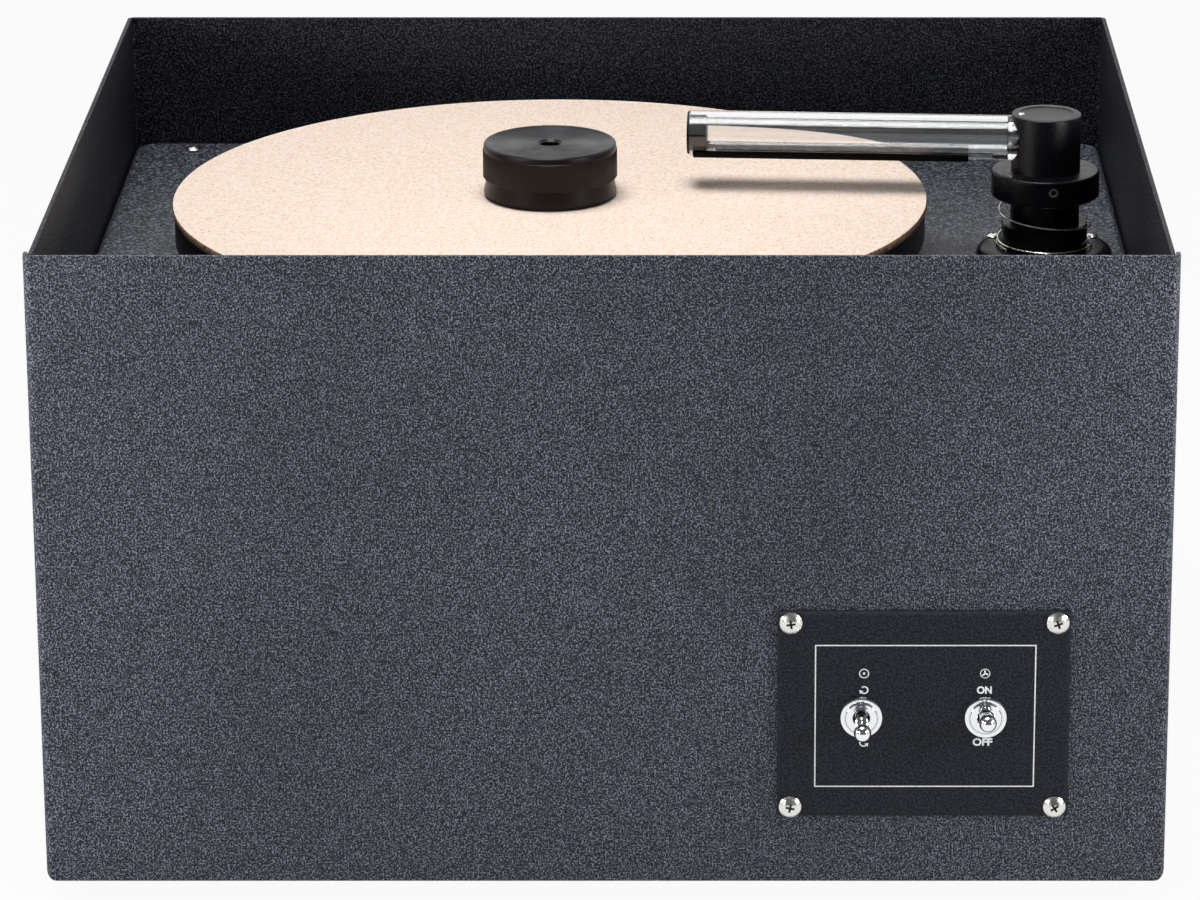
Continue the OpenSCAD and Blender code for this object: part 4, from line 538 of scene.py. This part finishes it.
frame_left, frame_right, frame_low, frame_high, frame_line = 78.7, 161.3, 47.2, 104.1, 0.48
border = bmesh.new()
bmesh.ops.create_grid(border, x_segments=1, y_segments=1, size=0.5,
                      matrix=Matrix.Diagonal((frame_right - frame_left, frame_high - frame_low,
                                              1.0, 1.0)))
inset = bmesh.ops.inset_region(border, faces=list(border.faces), thickness=frame_line,
                               use_boundary=True, use_even_offset=True)
bmesh.ops.delete(border, geom=[face for face in border.faces if face not in inset["faces"]],
                 context="FACES")
printed = [on_plate(border, (frame_left + frame_right) / 2, (frame_low + frame_high) / 2),
           on_plate(word("ON", 5.6, 3.05), 142.1, 86.1),
           on_plate(word("OFF", 7.4, 3.1), 141.7, 65.3),
           on_plate(fan_sign(), 142.3, 92.7), on_plate(disc_sign(), 97.1, 92.7),
           on_plate(turn_sign(True), 97.2, 86.1), on_plate(turn_sign(False), 97.1, 65.0)]
build("plate_print", joined(*printed), print_white, "case")

# Switches: chromed brass bushing, round dress nut and bat lever in front, moulded blue body
# behind the panel. The lever's ball sits in the bushing.
chrome = finish("chrome", (0.88, 0.89, 0.90), 0.06, 1.0)
roughened(chrome, grain(chrome, 0.003), 0.04, 0.1)
satin_chrome = finish("satin_chrome", (0.86, 0.87, 0.88), 0.09, 1.0)
roughened(satin_chrome, grain(satin_chrome, 0.0007, detail=3.0), 0.06, 0.13)
switch_finish = finish("switch_finish", (0.02, 0.04, 0.12), 0.35)
roughened(switch_finish, grain(switch_finish, 0.002), 0.3, 0.45)
dress(switch_finish, "turntable_switch", "vacuum_switch")

switch_places = [Matrix.Translation((plate_x + side * switch_pitch / 2, plate_face, switch_z))
                 @ forward for side in (-1, 1)]


def dress_nut():
    return spun([(6.06, 0.02), (7.7, 0.02), (7.95, 0.25), (7.95, 2.35), (7.75, 2.7), (7.35, 2.85),
                 (6.5, 2.85), (6.3, 2.65), (6.06, 2.65)], steps=96)


def bushing_face():
    return spun([(6.04, 0.02), (6.04, 3.2), (5.8, 3.45), (3.5, 3.45), (3.25, 3.2), (2.8, 0.3),
                 (2.8, 0.02)], steps=72)


build("dress_nuts", spots([(dress_nut, place) for place in switch_places]), satin_chrome, "case",
      ["switch_nuts"])
build("bushing_faces", spots([(bushing_face, place) for place in switch_places]), satin_chrome,
      "case")


def bat_lever():
    ball, ball_up = 3.3, 19.4
    outline = [(0.0, -3.0), (1.5, -2.6), (2.6, -1.5), (3.0, 0.0), (2.6, 1.5), (2.1, 2.2),
               (2.1, 8.2), (2.55, 8.6), (2.6, 10.6), (2.25, 11.0), (2.25, 11.7), (2.7, 12.1),
               (2.75, 14.4), (2.4, 14.8), (2.45, 15.5), (2.8, 16.4)]
    outline += [(ball * math.cos(turn), ball_up + ball * math.sin(turn))
                for turn in [math.radians(a) for a in range(-52, 91, 8)]]
    return spun(outline + [(0.0, ball_up + ball)], steps=64, closed=False)


ball_depth = 1.5
for name, node, body, side, tilt in (
        ("platter_bat", "turntable_lever", "platter_lever", -1, 0.0),
        ("suction_bat", "vacuum_lever", "suction_lever", 1, 11.0)):
    lever_place = Matrix.Translation((
        plate_x + side * switch_pitch / 2, plate_face + ball_depth, switch_z))
    build(name, placed(bat_lever(), lever_place
                       @ Matrix.Rotation(math.radians(90.0 - tilt), 4, "X")),
          chrome, body, [node])

# Platter and mat: a turned aluminium disc, painted black, under a glued disc of pressed cork
# granules with its upper edge rubbed round.
platter_coat = finish("platter_coat", (0.007, 0.007, 0.009), 0.45, specular=0.2)
raised(platter_coat, grain(platter_coat, 0.0008), 0.0001, 0.4)
dress(platter_coat, "platter")

cork = finish("cork", (0.9, 0.72, 0.58), 0.85, specular=0.2)
cork_grain = grain(cork, 0.0014, detail=3.0)
cork_specks = grain(cork, 0.0011, detail=4.0, seed=0.3)
cork_crumbs = grain(cork, 0.0028, detail=4.0, seed=0.6)
cork_tone = shades(cork, cork_grain, [(0.38, (0.845, 0.66, 0.53)), (0.60, (0.915, 0.79, 0.70))])
cork_spots = shades(cork, cork_specks, [(0.31, (0.72, 0.50, 0.34)), (0.40, (1.0, 1.0, 1.0))])
cork_darks = shades(cork, cork_crumbs, [(0.25, (0.62, 0.40, 0.26)), (0.30, (1.0, 1.0, 1.0))])
coloured(cork, multiplied(cork, cork_tone, cork_spots, cork_darks))
raised(cork, cork_grain, 0.0003, 0.5)

# Painted shade: the cork's side and rounded edge are a darker copy of the cork, for the shade on
# the side.
shaded_cork_rim = finish("shaded_cork_rim", (0.4, 0.26, 0.17), 0.9, specular=0.2)
rim_grain = grain(shaded_cork_rim, 0.0013, detail=4.0)
coloured(shaded_cork_rim, shades(shaded_cork_rim, rim_grain, [(0.36, (0.16, 0.085, 0.045)),
                                                (0.6, (0.62, 0.42, 0.29))]))
raised(shaded_cork_rim, rim_grain, 0.0004, 0.8)

platter_axis = Vector((-23.9, -7.2, 0.0))
on_platter = Matrix.Translation(platter_axis)
mat_low, mat_top, mat_radius = 223.0, 226.0, 150.0
cork_blank = spun([(3.85, mat_low), (mat_radius - 0.2, mat_low), (mat_radius, mat_low + 0.3),
                   (mat_radius, mat_top - 0.6), (mat_radius - 0.2, mat_top - 0.15),
                   (mat_radius - 0.7, mat_top), (3.85, mat_top)], steps=360)
# Faces at the side take index 1, the painted-shade copy of the cork.
for face in cork_blank.faces:
    middle = face.calc_center_median()
    face.material_index = int(middle.xy.length > mat_radius - 0.2)
build("cork_disc", placed(cork_blank, on_platter), cork, "turntable", ["cork_mat"],
      second=shaded_cork_rim)

# Record clamp: turned aluminium, anodised black, with a knurled grip, a tapered foot and a felt
# pad. It screws down on the spindle.
black_anodised = finish("black_anodised", (0.0035, 0.0035, 0.005), 0.27, specular=0.16)
roughened(black_anodised, grain(black_anodised, 0.004, detail=3.0), 0.22, 0.32)
turned_black = finish("turned_black", (0.004, 0.004, 0.006), 0.32, specular=0.18)
roughened(turned_black, grain(turned_black, 0.0006, detail=2.0), 0.26, 0.38)
felt = finish("felt", (0.015, 0.015, 0.016), 0.95, specular=0.1)
raised(felt, grain(felt, 0.0004, detail=3.0), 0.0002, 0.8)
dress(felt, "clamp_pad")
brass = finish("brass", (0.72, 0.5, 0.22), 0.3, 1.0)
roughened(brass, grain(brass, 0.001), 0.25, 0.38)
dress(brass, "clamp_insert", "spindle_bushes")

clamp_low, clamp_top, knurl_low, knurl_high = 227.4, 247.8, 234.0, 245.2
grip_radius, groove_radius, teeth, tooth_depth = 26.7, 25.35, 187, 0.22
grip = spun([(6.1, clamp_low), (26.25, clamp_low), (26.45, clamp_low + 0.2),
             (26.45, clamp_low + 0.9), (groove_radius, 233.5), (groove_radius, knurl_low - 0.15),
             (grip_radius - 0.3, knurl_low), (grip_radius, knurl_low + 0.3),
             (grip_radius, knurl_high - 0.25), (grip_radius - 0.35, knurl_high),
             (grip_radius - 0.35, clamp_top - 0.9), (grip_radius - 0.48, clamp_top - 0.45),
             (grip_radius - 0.8, clamp_top - 0.12), (grip_radius - 1.3, clamp_top),
             (grip_radius - 2.0, clamp_top), (grip_radius - 2.5, clamp_top - 0.3),
             (5.2, clamp_top - 0.3), (4.05, clamp_top - 1.2), (4.05, clamp_low + 12.2),
             (6.1, clamp_low + 12.2)], steps=2 * teeth)
for point in grip.verts:
    if knurl_low + 0.2 < point.co.z < knurl_high - 0.1:
        column = round(math.atan2(point.co.y, point.co.x) / math.pi * teeth)
        if column % 2:
            point.co.xy *= (grip_radius - tooth_depth) / grip_radius
for face in grip.faces:
    face.material_index = int(face.calc_center_median().z > clamp_top - 1.0)
# Painted reflection: the face's blue tint stands for the bluish reflection on the clamp's top.
turned_face = finish("turned_face", (0.0025, 0.0035, 0.006), 0.42, specular=0.3)
turned_face.node_tree.nodes["Principled BSDF"].inputs["Anisotropic"].default_value = 0.75
turned_face.node_tree.nodes["Principled BSDF"].inputs["Anisotropic Rotation"].default_value = 0.25
roughened(turned_face, grain(turned_face, 0.006, detail=3.0), 0.38, 0.46)
# The grip's brown tint is partly the anodise's own tone and partly a painted reflection of the
# cork.
grip_black = finish("grip_black", (0.006, 0.0026, 0.002), 0.32, specular=0.2)
roughened(grip_black, grain(grip_black, 0.004, detail=3.0), 0.28, 0.36)
build("knurled_grip", placed(grip, on_platter), grip_black, "clamp_grip",
      ["clamp_knob"], second=turned_face)

# Tower: a black anodised flange with a long boss is screwed to the deck. The shaft turns and
# slides in it on a wire spring, with a collar as the spring's seat and a shallow dished head.
def rounded(centre_r, centre_z, radius, start, end, steps=8):
    """Points on an arc of an outline, in degrees from the +r direction."""
    return [(centre_r + radius * math.cos(math.radians(start + (end - start) * k / steps)),
             centre_z + radius * math.sin(math.radians(start + (end - start) * k / steps)))
            for k in range(steps + 1)]


def rod(radius, length, sides=48):
    """A cylinder from the origin up."""
    shape = bmesh.new()
    bmesh.ops.create_cone(shape, cap_ends=True, segments=sides, radius1=radius, radius2=radius,
                          depth=length, matrix=Matrix.Translation((0.0, 0.0, length / 2.0)))
    return shape


on_tower = Matrix.Translation(tower)
swung = on_tower @ Matrix.Rotation(math.radians(-3.5), 4, "Z")
bore, boss = 13.86, 17.15
flange = placed(spun([(bore, 168.1), (boss, 168.1), (boss, deck_z), (27.3, deck_z)]
                     + rounded(23.3, 200.0, 4.0, 0.0, 90.0)
                     + [(boss, flange_z), (boss, 213.3), (boss - 0.4, 213.7), (bore, 213.7)],
                     steps=128), on_tower)
seats = [placed(rod(2.9, 6.0), place) for place in flange_places]
build("flange_turning", bored(flange, *seats), black_anodised, "case",
      ["tower_flange"])

spring_steel = finish("spring_steel", (0.74, 0.71, 0.66), 0.2, 1.0)
roughened(spring_steel, grain(spring_steel, 0.001), 0.15, 0.28)
wire, spring_radius, low_radius = 0.4, 18.2, 18.95
spring_turns, low_turns, closed_rise, end_angle = 3.5, 1.1, 1.3, 214.0
low_rise = closed_rise * low_turns ** 3
spring_foot, spring_head = flange_z + 0.05, 225.55
wire_low, wire_high = spring_foot + 2 * wire, spring_head - 2 * wire
pitch = (wire_high - wire_low - low_rise - closed_rise) / (spring_turns - 1.0 - low_turns)


def spring_height(turn):
    if turn < low_turns:
        return wire_low + low_rise * (turn / low_turns) ** 3
    if turn > spring_turns - 1.0:
        return wire_high - closed_rise * (spring_turns - turn) ** 3
    return wire_low + low_rise + pitch * (turn - low_turns)


def spring_point(turn, height):
    radius = spring_radius + (low_radius - spring_radius) * max(0.0, min(1.0, 1.8 - turn))
    angle = math.radians(end_angle - 360.0 * turn)
    return (radius * math.cos(angle), radius * math.sin(angle), height)


rings_per_turn = 60
turns = [k / rings_per_turn for k in range(int(spring_turns * rings_per_turn) + 1)]
route = ([spring_point(0.0, spring_foot)] + [spring_point(t, spring_height(t)) for t in turns]
         + [spring_point(spring_turns, spring_head)])
coil = bpy.data.curves.new("coil", "CURVE")
coil.dimensions = "3D"
coil.bevel_depth = wire
coil.bevel_resolution = 2
coil.use_fill_caps = True
line = coil.splines.new("POLY")
line.points.add(len(route) - 1)
for point, place in zip(line.points, route):
    point.co = (*place, 1.0)
holder = bpy.data.objects.new("coil", coil)
bpy.context.scene.collection.objects.link(holder)
bpy.context.view_layer.update()
wound = bmesh.new()
wound.from_mesh(bpy.data.meshes.new_from_object(
    holder.evaluated_get(bpy.context.evaluated_depsgraph_get())))
bpy.data.objects.remove(holder)
spring = build("wire_spring", placed(wound, on_tower), spring_steel, "case",
               ["lift_spring"])
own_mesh(spring)

collar_low, collar_top, collar_radius = 224.8, 235.4, 21.55
collar_screw = (on_tower @ Matrix.Rotation(math.radians(5.5), 4, "Z")
                @ Matrix.Translation((0.0, 0.0, 231.1)) @ forward)
collar = placed(spun([(bore - 0.02, 226.8), (19.6, 226.8), (19.6, collar_low), (20.9, collar_low),
                      (collar_radius, collar_low + 0.6), (collar_radius, collar_top - 1.0)]
                     + rounded(collar_radius - 1.0, collar_top - 1.0, 1.0, 0.0, 90.0)
                     + [(bore - 0.02, collar_top)], steps=128), on_tower)
build("collar_turning", bored(collar, placed(rod(2.15, 25.0), collar_screw)), black_anodised,
      "pickup_tower", ["tower_collar"])

tube_z, head_top, head_radius, shaft_foot = 248.0, 258.2, 13.8, 96.5
tube_place = swung @ Matrix.Translation((0.0, 0.0, tube_z)) @ Matrix.Rotation(
    math.radians(-90.0), 4, "Y")
head = placed(spun([(0.0, head_top - 0.4), (10.2, head_top - 0.4)]
                   + rounded(10.2, head_top + 0.8, 1.2, -90.0, -41.9, 4)[1:]
                   + [(head_radius - 0.5, head_top)]
                   + rounded(head_radius - 0.5, head_top - 0.5, 0.5, 90.0, 0.0, 5)[1:]
                   + [(head_radius, shaft_foot), (8.5, shaft_foot), (8.5, 256.0), (0.0, 256.0)],
                   steps=128, closed=False), on_tower)
tube_screw_x, tube_screw_floor, tube_screw_foot = -10.0, 256.5, 257.03
tube_bore = placed(rod(9.05, 40.0, 96), tube_place)
tube_screw_bore = placed(rod(1.5, 5.0), swung @ Matrix.Translation(
    (tube_screw_x, 0.0, tube_screw_floor)))
build("shaft_turning", bored(head, tube_bore, tube_screw_bore), turned_black, "pickup_tower",
      ["tower_shaft"])


def grub(radius, length, socket):
    """A set screw with a hexagon socket, its open end at z = length."""
    blank = spun([(0.0, 0.0), (radius, 0.0), (radius, length - 0.25), (radius - 0.25, length),
                  (0.0, length)], steps=48, closed=False)
    screw = bored(blank, placed(rod(socket, 3.0, 6), Matrix.Translation((0.0, 0.0, length - 1.6))))
    # The socket's faces take index 1, for the painted recess shade.
    for face in screw.faces:
        middle = face.calc_center_median()
        face.material_index = int(middle.xy.length < socket and 0.5 < middle.z < length - 0.1)
    return screw


build("collar_grub", placed(grub(2.08, 8.0, 1.15), collar_screw @ Matrix.Translation(
    (0.0, 0.0, 13.3))), bright_zinc, "pickup_tower", ["tower_screws"],
      second=recess_shade)
build("tube_grub", placed(grub(1.4, 1.05, 0.6), swung @ Matrix.Translation(
    (tube_screw_x, 0.0, tube_screw_foot))), bright_zinc, "pickup_tower",
      second=recess_shade)

# Pick-up tube: clear acrylic with a thicker wall at the head, slotted along its underside. Two
# velvet strips are glued beside the slot and a black plug closes the tip.
clear_acrylic = finish("clear_acrylic", (0.97, 0.98, 0.985), 0.02)
clear_acrylic.node_tree.nodes["Principled BSDF"].inputs["Transmission Weight"].default_value = 1.0
clear_acrylic.node_tree.nodes["Principled BSDF"].inputs["IOR"].default_value = 1.49
tube_start, tube_end, tube_radius, tube_inner = 8.8, 142.16, 9.0, 7.3
clear = spun([(4.5, tube_start), (tube_radius, tube_start), (tube_radius, tube_end - 0.2),
              (tube_radius - 0.2, tube_end), (tube_inner, tube_end), (tube_inner, 15.3),
              (tube_inner - 0.3, 15.0), (4.5, 15.0)], steps=128)
slot_start, strip_start, strip_end = 20.7, 30.6, tube_end - 1.5
suction_slot = block((-18.0, -0.9, slot_start), (0.0, 0.9, strip_end - 9.0))
build("clear_tube", placed(bored(clear, suction_slot), tube_place), clear_acrylic, "pickup_tower",
      ["pickup_tube"])

black_plastic = finish("black_plastic", (0.003, 0.003, 0.003), 0.4, specular=0.12)
raised(black_plastic, grain(black_plastic, 0.0007), 0.00008, 0.4)
plug_reach, plug_radius, flange_radius, flange_depth = 6.8, 7.25, 8.6, 0.8
plug = spun([(0.0, tube_end - plug_reach), (plug_radius - 0.25, tube_end - plug_reach),
             (plug_radius, tube_end - plug_reach + 0.3), (plug_radius, tube_end),
             (flange_radius - 0.2, tube_end), (flange_radius, tube_end + 0.2),
             (flange_radius, tube_end + flange_depth - 0.2),
             (flange_radius - 0.2, tube_end + flange_depth), (0.0, tube_end + flange_depth)],
            steps=96, closed=False)
build("tip_plug", placed(plug, tube_place), black_plastic, "pickup_tower",
      ["tube_plug"])


def lip_strip(side):
    """A strip that hugs the tube from 9 to 52 degrees beside its lowest line."""
    shape = bmesh.new()
    section = [(-9.0, strip_start), (-10.0, strip_start), (-10.0, strip_end), (-9.0, strip_end)]
    loop = [shape.verts.new((x, 0.0, along)) for x, along in section]
    sides = [shape.edges.new(pair) for pair in zip(loop, loop[1:] + loop[:1])]
    bmesh.ops.rotate(shape, verts=loop, cent=(0.0, 0.0, 0.0),
                     matrix=Matrix.Rotation(math.radians(-9.0 * side), 3, "Z"))
    bmesh.ops.spin(shape, geom=loop + sides, cent=(0.0, 0.0, 0.0), axis=(0.0, 0.0, 1.0),
                   angle=math.radians(-43.0 * side), steps=10)
    bmesh.ops.holes_fill(shape, edges=[edge for edge in shape.edges if edge.is_boundary], sides=0)
    bmesh.ops.recalc_face_normals(shape, faces=shape.faces)
    return shape


velvet = finish("velvet", (0.003, 0.003, 0.003), 0.95, specular=0.05)
raised(velvet, grain(velvet, 0.0004, detail=3.0), 0.0003, 0.9)
build("velvet_lips", placed(joined(lip_strip(-1), lip_strip(1)), tube_place), velvet,
      "pickup_tower", ["velvet_strips"], edge=0.35)

draw = random.Random(7)
pile, fibres = [], 260
for k in range(fibres):
    fibre = bmesh.new()
    bmesh.ops.create_cone(fibre, cap_ends=True, segments=3, radius1=0.16, radius2=0.04,
                          depth=draw.uniform(1.3, 2.3))
    lean = Matrix.Rotation(math.radians(90.0 + draw.uniform(-28.0, 28.0)), 4, "Y")
    spot = Matrix.Translation((draw.uniform(-8.9, -8.3), draw.uniform(-0.65, 0.65),
                               draw.uniform(strip_start, strip_end - 10.0)))
    pile.append(placed(fibre, spot @ lean))
build("velvet_pile", placed(joined(*pile), tube_place), velvet, "pickup_tower")

# Inside and behind: cast gearbox with plastic gears and the drive motor, moulded waste tank with
# its tap, suction motor on its stand with a hose, fan, mains inlet and wiring.
dress(black_plastic, "fan_frame", "fan_rotor", "power_inlet", "fuse_drawer", "vacuum_hose")
cast_alloy = finish("cast_alloy", (0.6, 0.6, 0.61), 0.45, 1.0)
raised(cast_alloy, grain(cast_alloy, 0.0012, detail=4.0), 0.0002, 0.4)
dress(cast_alloy, "platter_hub", "gearcase", "gearcase_lid", "vacuum_housing", "vacuum_impeller",
      "motor_can", "motor_rotor")
for name, colour, roughness, metallic, dressed in (
        ("copper_windings", (0.55, 0.22, 0.08), 0.35, 1.0, ["motor_stator"]),
        ("gear_plastic", (0.75, 0.7, 0.58), 0.4, 0.0, ["output_gear", "cluster_gear"]),
        ("tank_plastic", (0.8, 0.82, 0.8), 0.4, 0.0, ["waste_tank", "tank_lid"]),
        ("motor_coat", (0.16, 0.17, 0.18), 0.45, 0.0, ["vacuum_motor"]),
        ("tap_plastic", (0.62, 0.63, 0.64), 0.35, 0.0, ["drain_tap"]),
        ("key_plastic", (0.45, 0.02, 0.015), 0.3, 0.0, ["tap_key"]),
        ("block_plastic", (0.75, 0.72, 0.6), 0.5, 0.0, ["terminal_block"]),
        ("wire_cover", (0.3, 0.015, 0.012), 0.45, 0.0, ["wiring_loom"])):
    inner_finish = finish(name, colour, roughness, metallic)
    inner_grain = grain(inner_finish, 0.002, detail=3.0)
    roughened(inner_finish, inner_grain, roughness - 0.06, roughness + 0.1)
    raised(inner_finish, inner_grain, 0.00008, 0.4)
    dress(inner_finish, *dressed)

# Studio: a floor that looks white but throws back less light, a white room, a wide softbox
# overhead, two tall ones beside the camera and two small ones close to the panel's sides.
floor_mesh = bmesh.new()
bmesh.ops.create_grid(floor_mesh, x_segments=1, y_segments=1, size=6.0)
floor_data = bpy.data.meshes.new("studio_floor")
floor_mesh.to_mesh(floor_data)
floor_mesh.free()
studio_floor = bpy.data.objects.new("studio_floor", floor_data)
bpy.context.scene.collection.objects.link(studio_floor)
floor_paper = finish("floor_paper", (0.55, 0.55, 0.55), 0.9)
paper = floor_paper.node_tree
glow = paper.nodes.new("ShaderNodeEmission")
glow.inputs["Strength"].default_value = 1.0


def sees_background(tree):
    """1 for the rays that see the background: straight, mirrored or through glass."""
    rays = tree.nodes.new("ShaderNodeLightPath").outputs
    return maths(tree, "MAXIMUM", rays["Is Camera Ray"], maths(
        tree, "MAXIMUM", rays["Is Glossy Ray"], rays["Is Transmission Ray"]))


glow_share = 0.94
both = paper.nodes.new("ShaderNodeMixShader")
paper.links.new(maths(paper, "MULTIPLY", sees_background(paper), glow_share), both.inputs["Fac"])
paper.links.new(paper.nodes["Principled BSDF"].outputs[0], both.inputs[1])
paper.links.new(glow.outputs[0], both.inputs[2])
paper.links.new(both.outputs[0], paper.nodes["Material Output"].inputs["Surface"])
floor_data.materials.append(floor_paper)

room = bpy.data.worlds.new("white_room")
room.use_nodes = True
bpy.context.scene.world = room
air = room.node_tree
wall_light = air.nodes["Background"]
wall_light.inputs["Color"].default_value = (1.0, 1.0, 1.0, 1.0)
# Straight rays see white. Mirrored rays see a white backdrop and a dim room behind the camera, and
# the bounced light is weak.
room_light, bounced_light = 0.12, 0.04
way = air.nodes.new("ShaderNodeTexCoord")
parts = air.nodes.new("ShaderNodeSeparateXYZ")
air.links.new(way.outputs["Generated"], parts.inputs["Vector"])
backdrop = air.nodes.new("ShaderNodeMapRange")
backdrop.inputs["From Min"].default_value = -0.05
backdrop.inputs["From Max"].default_value = 0.35
backdrop.inputs["To Min"].default_value = room_light
backdrop.inputs["To Max"].default_value = 1.0
air.links.new(parts.outputs["Y"], backdrop.inputs["Value"])
rays = air.nodes.new("ShaderNodeLightPath").outputs
straight = maths(air, "MAXIMUM", rays["Is Camera Ray"], rays["Is Transmission Ray"])
mirrored = maths(air, "MULTIPLY", rays["Is Glossy Ray"], backdrop.outputs["Result"])
level = maths(air, "MAXIMUM", maths(air, "MAXIMUM", straight, mirrored), bounced_light)
air.links.new(level, wall_light.inputs["Strength"])


def softbox(name, width, height, power, place, aim):
    """A rectangular lamp at a place, turned to its aim."""
    lamp = bpy.data.lights.new(name, "AREA")
    lamp.shape = "RECTANGLE"
    lamp.size = width
    lamp.size_y = height
    lamp.energy = power
    holder = bpy.data.objects.new(name, lamp)
    holder.location = place
    holder.rotation_euler = (Vector(aim) - Vector(place)).to_track_quat("-Z", "Y").to_euler()
    bpy.context.scene.collection.objects.link(holder)


softbox("overhead", 1.0, 0.75, 25.0, (-0.12, -0.14, 1.7), (-0.05, -0.05, 0.2))
softbox("left_tall", 0.14, 1.0, 2.7, (-0.98, -1.35, 0.6), (0.0, 0.0, 0.15))
softbox("right_tall", 0.14, 1.0, 2.7, (1.5, -1.1, 0.6), (0.0, 0.0, 0.15))
softbox("left_low", 0.3, 0.14, 1.85, (-0.53, -0.37, 0.29), (-0.2, -0.19, 0.24))
softbox("right_low", 0.3, 0.14, 1.65, (0.54, -0.37, 0.29), (0.2, -0.19, 0.24))
